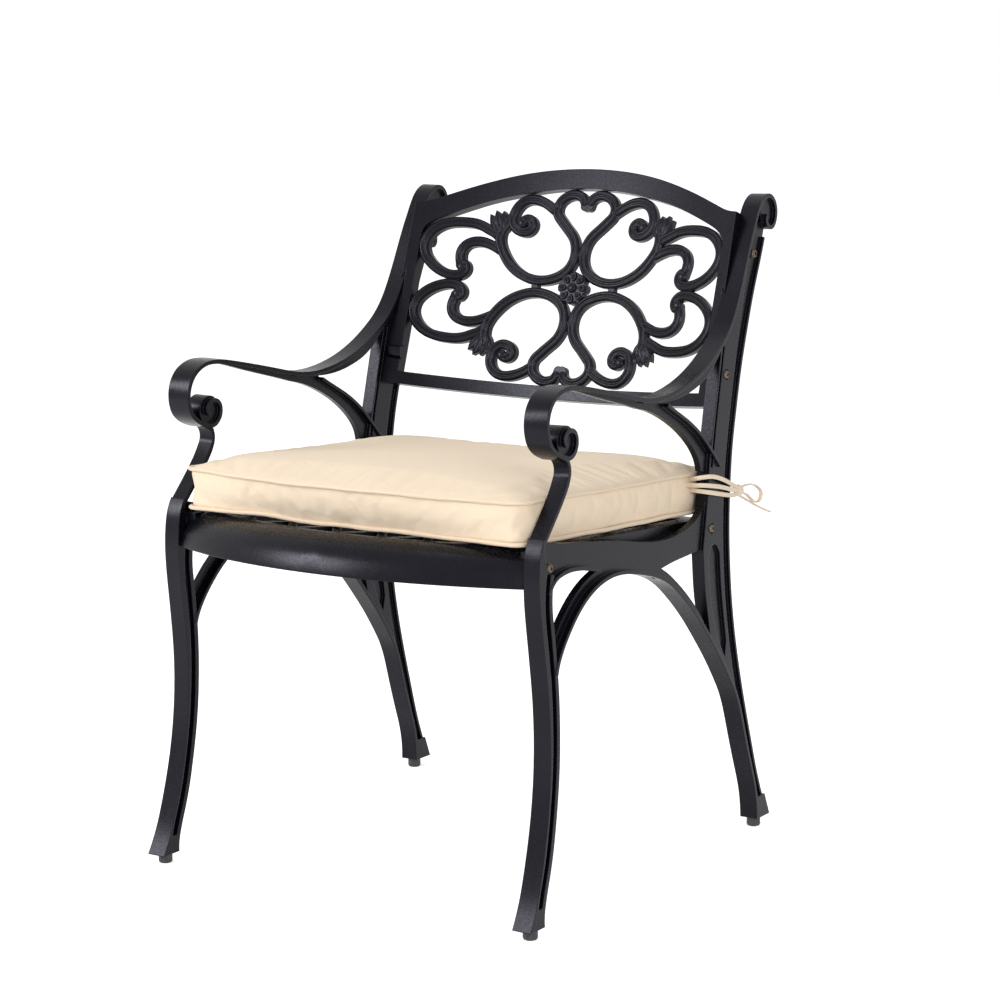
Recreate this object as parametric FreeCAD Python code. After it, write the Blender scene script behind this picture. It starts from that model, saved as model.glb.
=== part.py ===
import FreeCAD, Part
import math
import os

V = FreeCAD.Vector

# Garden armchair in cast metal: two side frames, a fretwork back, a lattice seat, a boxed cushion.
# Millimetres. +X is the sitter's left, -Y is the way the chair faces, +Z is up, the floor is z = 0.
# Outlines of the side frame are (y, z) points with y = 0 at the middle of the front foot.

# Overall
foot_spread = 539.5
frame_lean = 1.174
depth_centre = 271.0

curve_fit = 0.4

# Side frame sections, across the chair
flange_width = 25.4
neck_width = 20.5
arm_width = 31.0
sweep_width = 25.0
curl_width = 23.0
plate_thickness = 17.0
plate_front_thickness = 22.6
plate_taper = (20.0, 420.0)
leg_taper_height = 480.0
flange_inset = 0.4
web_thickness = 9.0
brace_web = 8.0
rib_width = 23.0
width_along_arm = [(0, arm_width), (80, arm_width), (120, 28.0), (300, sweep_width), (470, sweep_width),
                   (620, curl_width)]
volute_boss = (77.0, 560.0)
volute_boss_radius = 18.0
volute_boss_inset = 5.0
curl_boss = (570.0, 793.0)
curl_boss_radius = 19.0
curl_boss_inset = 1.0

# Side frame sections, in the plane of the frame
ribbon = 5.2
leg_rim = 6.5
leg_groove = 8.5
window_rim = 5.0
arch_flange = 4.6
arch_web_depth = 15.0
brace_flange = 4.0
post_groove = 13.0
post_rim = 4.0

# Feet
glide_radius = 8.5
glide_height = 13.0
glide_round = 2.5
glide_stem_radius = 4.0
glide_stem_length = 14.0
glide_stem_clearance = 0.25
foot_block_top = 36.0
front_foot_y = 0.0
rear_foot_y = 536.0

# Fastenings, M6 button heads with a spring washer and a flat washer, seated on the web
bolt_radius = 3.0
bolt_head_radius = 5.25
bolt_head_height = 3.3
bolt_socket_width = 4.0
bolt_socket_depth = 1.9
bolt_length = 35.0
bolt_clearance = 0.4
bolt_thread_clearance = 0.2
bolt_tip_room = 2.0
flat_washer_radius = 6.0
flat_washer_thickness = 1.6
spring_washer_radius = 5.6
spring_washer_thickness = 1.6
spring_washer_gap = 1.2
fastener_sides = 12
washer_bore_clearance = 0.3
counterbore_radius = 6.8
back_bolts_at = [(456.5, 597.0), (531.0, 742.0)]
lug_radius = 9.0
lug_length = 24.0

# Back panel
back_origin_y = 525.84
back_origin_z = 687.0
back_lean = 17.8
back_bow_radius = 800.0
fret_width = 13.5
fret_thickness = 8.5
fret_lap = 6.0
rail_thickness = 15.0
rail_proud = 3.0
rosette_radius = 22.0
rosette_petals = 8
rosette_proud = 3.0
back_gap = 0.4
back_reach = 262.0
back_shoulder = 100.0
back_half_height = 300.0

# Seat panel, in its own slope: depth runs back from seat_front_y along the slope
seat_front_z = 441.0
seat_front_y = 20.0
seat_slope = 3.2
seat_depth = 416.0
lattice_thickness = 8.0
lattice_bar = 11.0
lattice_pitch_x = 65.0
lattice_pitch_y = 93.0
lattice_start = 30.0
lattice_least_window = 60.0
side_rim = 20.0
rear_rim = 24.0
rim_depth = 16.0
rim_wall = 6.0
seat_side_gap = 0.8
apron_radius = 498.0
apron_front = -65.0
apron_drop = 43.0
apron_roll = 41.0
apron_wall = 6.0
apron_steps = 4
front_rim = 9.0
seat_front_bolt_in = 22.0
seat_rear_bolt_in = 20.5
seat_bolts_at = [
    (seat_front_y + seat_front_bolt_in, 420.5),
    (seat_front_y + seat_depth - seat_rear_bolt_in, 410.0),
]

# Cushion, in the slope of the seat
cushion_width = 492.0
cushion_front = -20.0
cushion_rear = 427.0
cushion_bow = 25.0
cushion_lower_edge = 7.5
cushion_upper_edge = 56.5
cushion_crown = 17.0
cushion_crown_reach = 110.0
cushion_set_back = 26.0
cushion_pinch = 5.0
cushion_corner = 26.0
cushion_gap = 0.3
cushion_front_turn = 10.0
cushion_turns = [0, 22.5, 45, 67.5, 90, 112.5, 135, 157.5, 180, 200, 220, 240, 261, 264.5, 268.2,
                 271.8, 275.5, 279, 300, 320, 340]

# Cushion ties
tie_radius = 2.6
tie_knot_radius = 8.0
tie_sides = 4
tie_knot_sides = 8
tie_knot_at = (264.0, 496.0, 446.0)


def vectors(points):
    """Flat points as vectors in the drawing plane."""
    return [V(a, b, 0) for a, b in points]


def smooth(points):
    """A smooth curve through points."""
    curve = Part.BSplineCurve()
    curve.interpolate(vectors(points))
    return curve


def arcs_along(points):
    """The smooth curve through points as arcs that leave it by less than curve_fit, whichever way it runs."""
    ordered = points if points[0] <= points[-1] else points[::-1]
    return [arc.toShape() for arc in smooth(ordered).toBiArcs(curve_fit)]


def beside(points, distance):
    """Points at a distance to the left of the smooth curve through points, seen along its run."""
    curve = smooth(points)
    found = []
    knots = [curve.parameter(p) for p in vectors(points)]
    for low, high in zip(knots, knots[1:]):
        found += [low, (low + high) / 2]
    found.append(knots[-1])
    shifted = []
    for knot in found:
        place = curve.value(knot)
        along = curve.tangent(knot)[0]
        shifted.append((place.x - distance * along.y, place.y + distance * along.x))
    return shifted


def outline(*runs):
    """A face inside runs of points: two points make a straight run, more make a smooth one."""
    edges = []
    for index, run in enumerate(runs):
        if len(run) == 2:
            edges.append(Part.LineSegment(*vectors(run)).toShape())
        elif len(run) > 2:
            edges += arcs_along(run)
        end = V(*run[-1], 0)
        start = V(*runs[(index + 1) % len(runs)][0], 0)
        if end.distanceToPoint(start) > 0.01:
            edges.append(Part.LineSegment(end, start).toShape())
    return Part.Face(Part.Wire(Part.__sortEdges__(edges)))


def band(points, left, right):
    """A strip along the smooth curve through points, from left of it to right of it."""
    far = beside(points, left) if left else points
    near = beside(points, -right) if right else points
    return outline(far, near[::-1])


def slab(face, half):
    """A face of the drawing plane as a solid of half a thickness each side."""
    low = face.translated(V(0, 0, -half))
    return low.extrude(V(0, 0, 2 * half))


def disc(place, radius):
    """A round face in the drawing plane."""
    return Part.Face(Part.Wire(Part.Circle(V(*place, 0), V(0, 0, 1), radius).toShape()))


def merged(shapes):
    """One solid from shapes that run into each other."""
    return shapes[0].multiFuse(shapes[1:])


def stand_right(shape):
    """Turn the drawing plane into the frame's own (y, z), lean it in and set it at the sitter's left."""
    shape = shape.copy()
    shape.rotate(V(0, 0, 0), V(1, 1, 1), 120)
    shape.rotate(V(0, 0, 0), V(0, 1, 0), -frame_lean)
    shape.translate(V(foot_spread / 2, -depth_centre, 0))
    return shape


def mirrored(shape):
    """The same shape on the other side of the chair."""
    return shape.mirror(V(0, 0, 0), V(1, 0, 0))


# Curves of the side frame, front to back and bottom to top
leg_front = [(-21.5, 8), (-9, 30), (3.6, 60), (15.5, 100), (24.8, 140), (30.4, 180), (32.6, 240),
             (27.8, 300), (22.3, 340), (17.4, 380), (16.6, 410), (19.5, 435), (28.5, 456)]
leg_rear = [(12.4, 8), (14, 36), (22.3, 60), (34.7, 100), (42.9, 140), (49.5, 180), (53.0, 230),
            (52.0, 290), (46.5, 340), (43, 372), (44.5, 396), (48, 412)]
strap_back = [(29, 446), (45, 463), (65.5, 486), (83.5, 510), (88.5, 525), (86.5, 534), (77, 544)]
rail_top = [(34, 453), (60, 446.5), (100, 441), (150, 434), (205, 427), (255, 417), (307, 412),
            (355, 416), (385, 425.5), (402, 439), (412, 455)]
front_window_top = [(40, 390), (51, 402), (66, 407.5), (84, 409.5), (104, 408), (126, 404.5), (148, 399)]
rear_window_top = [(286, 376), (320, 381), (358, 384), (392, 386)]
plate_lower_edge = [(29, 372), (32, 386), (38, 402), (49, 412), (58, 417.5), (63, 423.5), (72, 425.3),
                    (92, 424), (125, 420), (147, 416), (156, 411.5), (162, 404), (173, 397.5),
                    (191, 393.5), (238, 386.5), (278, 381), (290, 382.5), (295, 389), (310, 393),
                    (348, 395.5), (386, 396.5)]
arch_lower = [(50, 296), (60, 318), (76, 338), (98, 359), (121, 374), (143, 382.5), (170, 388.5),
              (200, 388), (232, 382.5), (260.5, 375.5), (286.5, 367), (322, 346.5), (351, 324), (378, 299),
              (405, 270), (433, 238), (450.5, 215), (466, 192.5), (489, 135), (509.5, 78), (518, 53),
              (522, 32), (523, 8)]
post_front = [(409, 455), (412, 487), (419, 520), (428.5, 560), (438, 600), (446, 634)]
post_rear = [(559.5, 8), (543, 45), (529, 80), (516, 120), (503, 160), (491, 200), (480, 240),
             (472, 280), (466, 320), (463, 360), (462, 400), (464, 440), (468, 480), (474.5, 520),
             (485, 560), (496, 600), (510, 640), (525, 680), (543, 720), (561, 760)]
arm_ribbon = [(74, 553.5), (66.5, 558), (66, 566), (73, 573), (84, 574.5), (94, 569.5), (98, 560),
              (95.5, 549), (88, 541.5), (78, 538.5), (66, 540.5), (54, 545), (43, 551.5),
              (34.5, 563), (31, 580), (33, 594), (40, 606), (51, 615), (65, 620.5), (80, 622),
              (100, 620.5), (125, 616.5), (150, 611.5), (200, 601), (250, 590.5), (275, 587.5),
              (300, 588), (335, 592.6), (364, 600), (392, 610.5), (421, 626), (450, 646.5),
              (471, 671), (485, 695), (501, 728), (519, 765), (530, 785), (540, 801), (552, 811.5),
              (566, 815.5), (580, 810.5), (589, 796), (586.5, 780.5), (577, 771), (565, 771.5),
              (558, 779), (561, 790)]
sweep_low = [(250, 584), (284, 581.5), (307, 580), (330, 580.8), (354, 584), (378, 590), (402, 599.5),
             (422, 613.5), (437, 627), (452, 645)]
sweep_top = [(250, 588), (300, 585.5), (335, 590), (364, 597), (392, 608), (421, 623), (450, 643)]
sweep_starts = 25
rear_leg_front = [(424, 250), (412, 272), (405.5, 300), (400, 325), (397, 350), (394.5, 386)]
post_plate_rear = [(505, 100), (486, 160), (463, 240), (449, 320), (445, 400), (451, 480), (468, 560),
                   (489, 640), (501, 680), (512, 720), (521, 755)]
recess_front = [(447, 241), (434, 262), (418, 300), (411, 335), (407, 372)]
recess_rear = [(436, 376), (438, 345), (444, 300), (451, 262)]
brace_top = [(308, 577), (350, 555.5), (380, 538), (410, 513.5), (437, 487)]
brace_low = [(250, 577), (280, 569.5), (320, 553.5), (350, 537), (372, 521), (390, 502.5), (398, 483)]
arm_web_top = [(88, 618.5), (125, 614), (200, 598), (250, 587.5), (300, 586)]
arm_web_low = [(88, 617), (120, 610.5), (150, 602.5), (200, 590), (250, 577)]


def across(profile, low, high):
    """A solid from a profile of (height or depth, half width) pairs, symmetric across the frame."""
    there = [V(place, 0, half) for place, half in profile]
    back = [V(place, 0, -half) for place, half in reversed(profile)]
    face = Part.Face(Part.makePolygon(there + back + [there[0]]))
    face.translate(V(0, low, 0))
    return face.extrude(V(0, high - low, 0))


def plate_wedge(low, high):
    """The full thickness of the plate, which thins from the front leg to the rear post."""
    front = plate_front_thickness / 2
    rear = plate_thickness / 2
    reach = 220
    starts, ends = plate_taper
    return across([(starts - reach, front), (starts, front), (ends, rear), (ends + reach, rear)], low, high)


def front_leg():
    """The S-curved front leg: front flange, deep groove and rear rim over a web, tapering upwards."""
    rear = leg_rear
    front_of_groove = beside(rear, leg_rim + leg_groove)
    block = outline([(-14, 8), (-4, foot_block_top)], [(11, foot_block_top), (10, 8)])
    leg = merged([
        slab(outline(leg_front, rear[::-1]), web_thickness / 2),
        slab(outline(leg_front, front_of_groove[::-1]), flange_width / 2),
        slab(band(rear, leg_rim, 0), flange_width / 2),
        slab(block, flange_width / 2),
    ])
    taper = across([(0, flange_width / 2), (leg_taper_height, neck_width / 2)], -100, 150)
    taper.rotate(V(0, 0, 0), V(0, 0, 1), 90)
    return leg.common(taper)


def seat_rail():
    """The side rail under the seat: a plate over a recessed band and rims round the windows."""
    underside = [(281, 368), (235, 386), (200, 392.5), (170, 392.5), (148, 399)]
    web = outline(
        rail_top,
        [(412, 455), (400, 386)],
        rear_window_top[::-1],
        [rear_window_top[0], underside[0]],
        underside,
        front_window_top[::-1],
    )
    plate = outline([(24, 455), (34, 453)], rail_top, plate_lower_edge[::-1])
    wedge = plate_wedge(300, 500)
    raised = [
        slab(plate, flange_width / 2),
        slab(band(front_window_top, window_rim, 0), flange_width / 2),
        slab(band(rear_window_top, window_rim, 0), flange_width / 2),
    ]
    return [slab(web, web_thickness / 2), merged(raised).common(wedge)]


def arch():
    """The arched brace under the rail, whose flange runs on down the front of the rear leg."""
    return [
        slab(band(arch_lower, arch_web_depth, 0), web_thickness / 2),
        slab(band(arch_lower, arch_flange, 0), flange_width / 2 - flange_inset),
    ]


def post():
    """The rear leg and back post in one: a plate with a deep groove and a rim along its rear."""
    leg_line = [(525, 8), (524, 32), (520, 54), (511.5, 80), (491, 136), (468, 193.5), (452, 217), (432, 245)]
    top = [(446, 634), (472, 667), (488, 695), (506, 733), (525, 771)]
    web = outline(
        leg_line,
        [leg_line[-1], rear_leg_front[0]],
        rear_leg_front,
        [rear_leg_front[-1], post_front[0]],
        post_front,
        top,
        [top[-1], (570, 785)],
        [(570, 785), post_rear[-1]],
        post_rear[::-1],
    )
    plate = outline(
        leg_line[3:],
        [leg_line[-1], rear_leg_front[0]],
        rear_leg_front,
        [rear_leg_front[-1], post_front[0]],
        post_front,
        top,
        post_plate_rear[::-1],
    )
    recess = outline(recess_front, [recess_front[-1], (421, 389), recess_rear[0]], recess_rear)
    front_groove = band(post_front[1:], -3, 8)
    pockets = merged([slab(recess, plate_thickness), slab(front_groove, plate_thickness)])
    block = outline([(525, 8), (522, 42)], [(544.5, 42), (559.5, 8)])
    return [
        slab(web, web_thickness / 2),
        slab(plate, plate_thickness / 2).cut(pockets),
        slab(band(post_rear, post_rim, 0), plate_thickness / 2),
        slab(block, flange_width / 2 - flange_inset),
    ]


def arm():
    """Volute, arm, sweep and curled top in one ribbon, with the web and flange of the arm brace."""
    width = across([(y, full / 2) for y, full in width_along_arm], 300, 900)
    scroll = slab(band(arm_ribbon, 0, ribbon), arm_width).common(width)
    web = outline(
        arm_web_top,
        [arm_web_top[-1], brace_top[0]],
        brace_top,
        [brace_top[-1], (420, 478)],
        [(420, 478), brace_low[-1]],
        brace_low[::-1],
        arm_web_low[::-1],
    )
    return [
        scroll,
        slab(web, brace_web / 2),
        slab(outline(sweep_top, [sweep_top[-1], sweep_low[-1]], sweep_low[::-1]), sweep_width / 2 - 1),
        slab(band(brace_top, 0, brace_flange), rib_width / 2),
        slab(disc(volute_boss, volute_boss_radius), arm_width / 2 - volute_boss_inset),
        slab(disc(curl_boss, curl_boss_radius), plate_thickness / 2 - curl_boss_inset),
        slab(band(strap_back, ribbon, 0), neck_width / 2),
    ]


def side_frame():
    """One side frame, cast in one piece, in its own drawing plane."""
    return merged([front_leg()] + seat_rail() + arch() + post() + arm())


def drilled(frame, places):
    """A frame's plane shape with a clearance hole at each place and a counterbore down to the web."""
    for place in places:
        through = V(*place, -flange_width)
        hole = Part.makeCylinder(bolt_radius + bolt_clearance, 2 * flange_width, through, V(0, 0, 1))
        seat = Part.makeCylinder(counterbore_radius, flange_width, V(*place, web_thickness / 2), V(0, 0, 1))
        frame = frame.cut(hole.fuse(seat))
    return frame


def feet_cut(frame):
    """The standing frame cut level over its two glides and drilled for their stems."""
    reach = 2 * flange_width
    long = 2 * rear_foot_y
    low = V(foot_spread / 2 - reach, -long / 2 - depth_centre / 2, glide_height - reach)
    room = Part.makeBox(2 * reach, long, reach, low)
    stems = [glide_stem(y, glide_stem_clearance) for y in (front_foot_y, rear_foot_y)]
    return frame.cut(room).cut(stems[0].fuse(stems[1]))


def glide_stem(y, clearance):
    """The stem of a glide, or its hole when a clearance is given."""
    return Part.makeCylinder(
        glide_stem_radius + clearance,
        glide_stem_length + clearance,
        V(foot_spread / 2, y - depth_centre, glide_height),
        V(0, 0, 1),
    )


def glide(y):
    """A moulded glide: a rounded button that takes the floor, on a stem pressed up into the foot."""
    rings = []
    eased = 0.3 * glide_round
    for level, inset in ((0, glide_round), (eased, eased), (glide_round, 0), (glide_height, 0)):
        rings.append(sided((foot_spread / 2, y - depth_centre), level, glide_radius - inset))
    return faceted(rings).fuse(glide_stem(y, 0))


# Fretwork of the back, as (across, up) points on its curved surface, one quarter or one half of it
heart_loop = [(3, 111), (9, 122), (20.7, 126), (31, 123.6), (39, 118), (43.6, 109), (43, 100),
              (36, 91), (25.7, 80.7), (15.7, 71), (9.3, 60), (6.8, 47), (9.5, 32), (18, 20),
              (32.9, 12), (50, 8.2), (68, 9.5), (88, 17.5), (102.9, 28.6), (114, 43), (120.7, 56.4),
              (121.5, 68), (117, 82), (113, 88)]
upper_scroll = [(44, 101), (53.6, 107.5), (64, 113), (75.7, 116.4), (87, 116.4), (97, 112), (104, 103.6),
                (107.4, 93.6), (106.4, 83.6), (99, 75), (88, 72), (79.5, 75.5), (77, 83.5),
                (81.5, 89.3), (88.6, 88.6), (92.5, 84)]
lower_scroll = [(44, -107), (53, -113.6), (62, -118.3), (73, -121.8), (84.3, -123), (94, -121), (102, -114.5),
                (106.6, -105), (106.4, -95), (102, -86.5), (94, -81.5), (85, -82), (78, -87.5),
                (78, -95), (84, -98.5), (90.5, -95.5)]
side_scroll = [(122, 62), (129, 67), (138, 71), (148, 75.7), (159, 78.6), (173.6, 79.3), (188, 78.3),
               (200.7, 75), (212, 69), (220.7, 60), (225.6, 49), (225, 37), (218.5, 25.5), (207.5, 15.5),
               (194, 8.8), (180, 6), (169, 8.5), (163.4, 15), (165.5, 21.5), (171, 20.5)]
side_branch = [(116, 44), (123, 47.5), (130.7, 50.7), (141, 53.6), (152, 54.5), (161.5, 52.5), (169, 47.5),
               (173.2, 40), (173.4, 31), (171, 22)]
top_rail_high = [(0, 160.5), (50, 158), (100, 149.5), (150, 134.5), (200, 114.5), (228, 103), (250, 100)]
top_rail_low = [(0, 134), (50, 131), (100, 121.5), (150, 107.5), (190, 90.5), (212, 80), (226, 69.5),
                (230.5, 55)]
fret_joints = [(59, 0, 5), (181, 0, 5)]
leaf_tips = [(141, 93, 14), (133, 99, 13), (122, 99, 13), (112, 93, 12)]
stile_inner = 230.5
bottom_rail_high = -132.5
bottom_rail_low = -149.5


def upside_down(points):
    """The same points below the middle of the back."""
    return [(u, -s) for u, s in points]


def strand(points, width=fret_width):
    """A fretwork strand along a smooth line, with a rounded tip at both ends."""
    half = width / 2
    return [band(points, half, half), disc(points[0], half), disc(points[-1], half)]


def petal(place, tip, width):
    """A pointed leaf or petal from place to tip."""
    along = V(tip[0] - place[0], tip[1] - place[1], 0)
    side = V(-along.y, along.x, 0).normalize() * (width / 2)
    middle = V(*place, 0) + along * 0.55
    left = middle + side
    right = middle - side
    run = [place, (left.x, left.y), tip]
    back = [tip, (right.x, right.y), place]
    return outline(run, back)


def fret_strands():
    """Every strand, leaf, petal and joint of the open pattern, as flat faces that run into each other."""
    quarter = []
    for points in (heart_loop, side_scroll, side_branch):
        quarter += strand(points)
        quarter += strand(upside_down(points))
    quarter += strand(upper_scroll)
    quarter += strand(lower_scroll)
    for u, s, width in leaf_tips:
        quarter.append(petal((119, 66), (u, s), width))
        quarter.append(petal((119, -66), (u, -s), width))
    for u, s, radius in fret_joints:
        quarter.append(disc((u, s), radius))
    return quarter + [face.mirror(V(0, 0, 0), V(1, 0, 0)) for face in quarter] + rosette()


def rosette():
    """The flower in the middle: petals round a button."""
    faces = [disc((0, 0), rosette_radius * 0.45)]
    for index in range(rosette_petals):
        angle = 2 * math.pi * index / rosette_petals
        reach = rosette_radius * 0.66
        faces.append(disc((reach * math.sin(angle), reach * math.cos(angle)), rosette_radius * 0.34))
    return faces


def window_face(margin):
    """The opening between the rails and stiles, widened by a margin."""
    both = [(-u, s) for u, s in top_rail_low[:0:-1]] + top_rail_low
    lower = beside(both, margin) if margin else both
    side = stile_inner + margin
    low = bottom_rail_high - margin
    return outline(
        lower,
        [lower[-1], (side, low)],
        [(side, low), (-side, low)],
        [(-side, low), lower[0]],
    )


def rail_outline():
    """The whole outline of the back, wide enough to reach past the side frames."""
    edge = back_reach
    shoulder = back_shoulder
    upper = [(-u, s) for u, s in top_rail_high[:0:-1]] + top_rail_high
    return outline(
        upper,
        [upper[-1], (edge, shoulder)],
        [(edge, shoulder), (edge, bottom_rail_low)],
        [(edge, bottom_rail_low), (-edge, bottom_rail_low)],
        [(-edge, bottom_rail_low), (-edge, shoulder)],
        [(-edge, shoulder), upper[0]],
    )


def bowed(face, proud, thickness):
    """A flat face of the back as a solid between two upright cylinders, hollow towards the sitter."""
    inner = back_bow_radius - proud
    rings = []
    for radius in (inner + thickness, inner):
        rings.append(Part.makeCylinder(radius, 2 * back_half_height, V(0, -back_half_height, 0), V(0, 1, 0)))
    shell = rings[0].cut(rings[1])
    shell.translate(V(0, 0, back_bow_radius))
    bow_depth = back_bow_radius - math.sqrt(back_bow_radius ** 2 - back_reach ** 2)
    low = -rail_thickness
    high = bow_depth + 2 * rail_proud
    return face.translated(V(0, 0, low)).extrude(V(0, 0, high - low)).common(shell)


def place_back(shape):
    """Set a shape drawn on the back's own surface in its leaning place."""
    shape = shape.copy()
    shape.rotate(V(0, 0, 0), V(1, 0, 0), 90)
    shape.rotate(V(0, 0, 0), V(1, 0, 0), -back_lean)
    shape.translate(V(0, back_origin_y - depth_centre, back_origin_z))
    return shape


def bolt_stack(place):
    """A bolt with its two washers at a place of the frame's plane, seated on the web from outside."""
    seat = web_thickness / 2
    bore = bolt_radius + washer_bore_clearance
    flat = ring(place, seat, flat_washer_radius, bore, flat_washer_thickness)
    spring_at = seat + flat_washer_thickness
    spring = ring(place, spring_at, spring_washer_radius, bore, spring_washer_thickness)
    slit_low = V(place[0], place[1] - spring_washer_gap / 2, spring_at)
    slit = Part.makeBox(2 * spring_washer_radius, spring_washer_gap, spring_washer_thickness, slit_low)
    spring = spring.cut(slit)
    head_at = spring_at + spring_washer_thickness
    shank = face_inside(sided(place, head_at, bolt_radius)).extrude(V(0, 0, -bolt_length))
    head = button_head().translated(V(*place, head_at))
    return shank.fuse(head).removeSplitter(), spring, flat


def sided(place, level, radius):
    """The corners of a polygon round a place of the drawing plane, with its flats as far out as a circle."""
    reach = radius / math.cos(math.pi / fastener_sides)
    turns = [2 * math.pi * side / fastener_sides for side in range(fastener_sides)]
    return [V(place[0] + reach * math.cos(turn), place[1] + reach * math.sin(turn), level) for turn in turns]


def face_inside(corners):
    """The flat face inside a closed run of corners."""
    return Part.Face(Part.makePolygon(corners + corners[:1]))


def ring(place, level, outer, inner, height):
    """A flat ring in the drawing plane from a level outwards."""
    face = face_inside(sided(place, level, outer)).cut(face_inside(sided(place, level, inner)))
    return face.extrude(V(0, 0, height))


def button_head():
    """A domed head with a hexagon socket, standing on z = 0."""
    rings = []
    for rise, share in ((0, 1), (0.25, 1), (0.72, 0.86), (1, 0.58)):
        rings.append(sided((0, 0), bolt_head_height * rise, bolt_head_radius * share))
    head = faceted(rings)
    corner = bolt_socket_width / math.sqrt(3)
    turns = [math.pi / 3 * index for index in range(6)]
    hexagon = [V(corner * math.cos(turn), corner * math.sin(turn), bolt_head_height) for turn in turns]
    socket = face_inside(hexagon).extrude(V(0, 0, -bolt_socket_depth))
    return head.cut(socket)


def faceted(rings):
    """A solid with flat faces between rings of as many corners each, closed by the first and the last."""
    faces = [face_inside(rings[0]), face_inside(rings[-1])]
    for low, high in zip(rings, rings[1:]):
        for index in range(len(low)):
            after = (index + 1) % len(low)
            faces.append(face_inside([low[index], low[after], high[after], high[index]]))
    return Part.Solid(Part.Shell(faces))


def lug(place, inner_face, top):
    """A lug from a bolt's place at the frame's inner face inwards, rising to a top line, and its hole."""
    profile = merged_faces([
        disc(place, lug_radius),
        outline([(place[0] - lug_radius, place[1]), (place[0] - lug_radius, top)],
                [(place[0] + lug_radius, top), (place[0] + lug_radius, place[1])]),
    ])
    solid = profile.translated(V(0, 0, -inner_face - lug_length)).extrude(V(0, 0, lug_length + inner_face))
    tip = web_thickness / 2 + flat_washer_thickness + spring_washer_thickness - bolt_length - bolt_tip_room
    hole = Part.makeCylinder(bolt_radius + bolt_thread_clearance, -tip, V(*place, tip), V(0, 0, 1))
    return solid, hole


def merged_faces(faces):
    """Overlapping flat faces as one."""
    return faces[0].multiFuse(faces[1:]).removeSplitter()


def both_sides(shape):
    """A shape of the sitter's left and its mirror image."""
    return [shape, mirrored(shape)]


def back_panel():
    """The cast back: rails and stiles round the fretwork, a rosette and a lug at each bolt."""
    window = window_face(0)
    gaps = window.cut(fret_strands())
    frets = bowed(window_face(fret_lap).cut(gaps), 0, fret_thickness)
    rails = bowed(rail_outline().cut(window), rail_proud, rail_thickness)
    flower = bowed(merged_faces(rosette()), rosette_proud, rosette_proud + fret_thickness / 2)
    panel = place_back(merged([rails, frets, flower]))
    inner_faces = [plate_thickness / 2, web_thickness / 2]
    holes = []
    for place, inner_face in zip(back_bolts_at, inner_faces):
        solid, hole = lug(place, inner_face, place[1] + lug_radius)
        panel = panel.fuse(both_sides(stand_right(solid)))
        holes += both_sides(stand_right(hole))
    reach = 2 * flange_width
    upper_room = Part.makeCylinder(lug_radius + back_gap, 2 * reach, V(*back_bolts_at[1], -reach), V(0, 0, 1))
    outside = across([(-100, reach), (900, reach)], 480, 900)
    outside.translate(V(0, 0, reach - plate_thickness / 2))
    web = slab(disc(back_bolts_at[1], lug_radius + 1), web_thickness / 2)
    outside = outside.cut(upper_room).fuse(web)
    sweep = arm_ribbon[sweep_starts:]
    sweep_gap = back_gap + curve_fit
    sweep_room = slab(band(sweep, sweep_gap, ribbon + sweep_gap), sweep_width / 2 + back_gap)
    tools = both_sides(stand_right(outside)) + both_sides(stand_right(sweep_room)) + holes
    return panel.cut(tools)


def seat_half_width():
    """Half the seat panel's width: it stops short of the side frames' plates, which lean inwards."""
    lean = seat_front_z * math.sin(math.radians(frame_lean))
    return foot_spread / 2 - lean - plate_front_thickness / 2 - seat_side_gap


def place_seat(shape):
    """Tilt a shape of the seat's own slope and set it in the chair."""
    shape = shape.copy()
    shape.rotate(V(0, 0, 0), V(1, 0, 0), -seat_slope)
    shape.translate(V(0, seat_front_y - depth_centre, seat_front_z))
    return shape


def bow_face(radius, rear, half_width):
    """The seat's plan inside a bowed front of a radius, a straight rear and straight sides."""
    centre_y = apron_front + apron_radius
    end_y = centre_y - math.sqrt(radius ** 2 - half_width ** 2)
    front = Part.Arc(V(-half_width, end_y, 0), V(0, centre_y - radius, 0), V(half_width, end_y, 0))
    places = [(half_width, end_y), (half_width, rear), (-half_width, rear), (-half_width, end_y)]
    corners = vectors(places)
    edges = [front.toShape()]
    for start, end in zip(corners, corners[1:]):
        edges.append(Part.LineSegment(start, end).toShape())
    return Part.Face(Part.Wire(edges))


def lattice_windows(region):
    """The diamond openings of the seat that lie inside a region."""
    half_x = lattice_pitch_x / 2
    half_y = lattice_pitch_y / 2
    shrink = lattice_bar / 2 / math.sin(math.atan2(half_x, half_y)) / half_y
    windows = []
    for row in range(-2, 11):
        for column in range(-5, 6):
            x = (column + 0.5 * (row % 2)) * lattice_pitch_x
            y = lattice_start + row * half_y
            reach_x = half_x * (1 - shrink)
            reach_y = half_y * (1 - shrink)
            tips = [V(x + reach_x, y, 0), V(x, y + reach_y, 0), V(x - reach_x, y, 0), V(x, y - reach_y, 0)]
            inside = face_inside(tips).common(region)
            windows += [face for face in inside.Faces if face.Area > lattice_least_window]
    return windows


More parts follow.
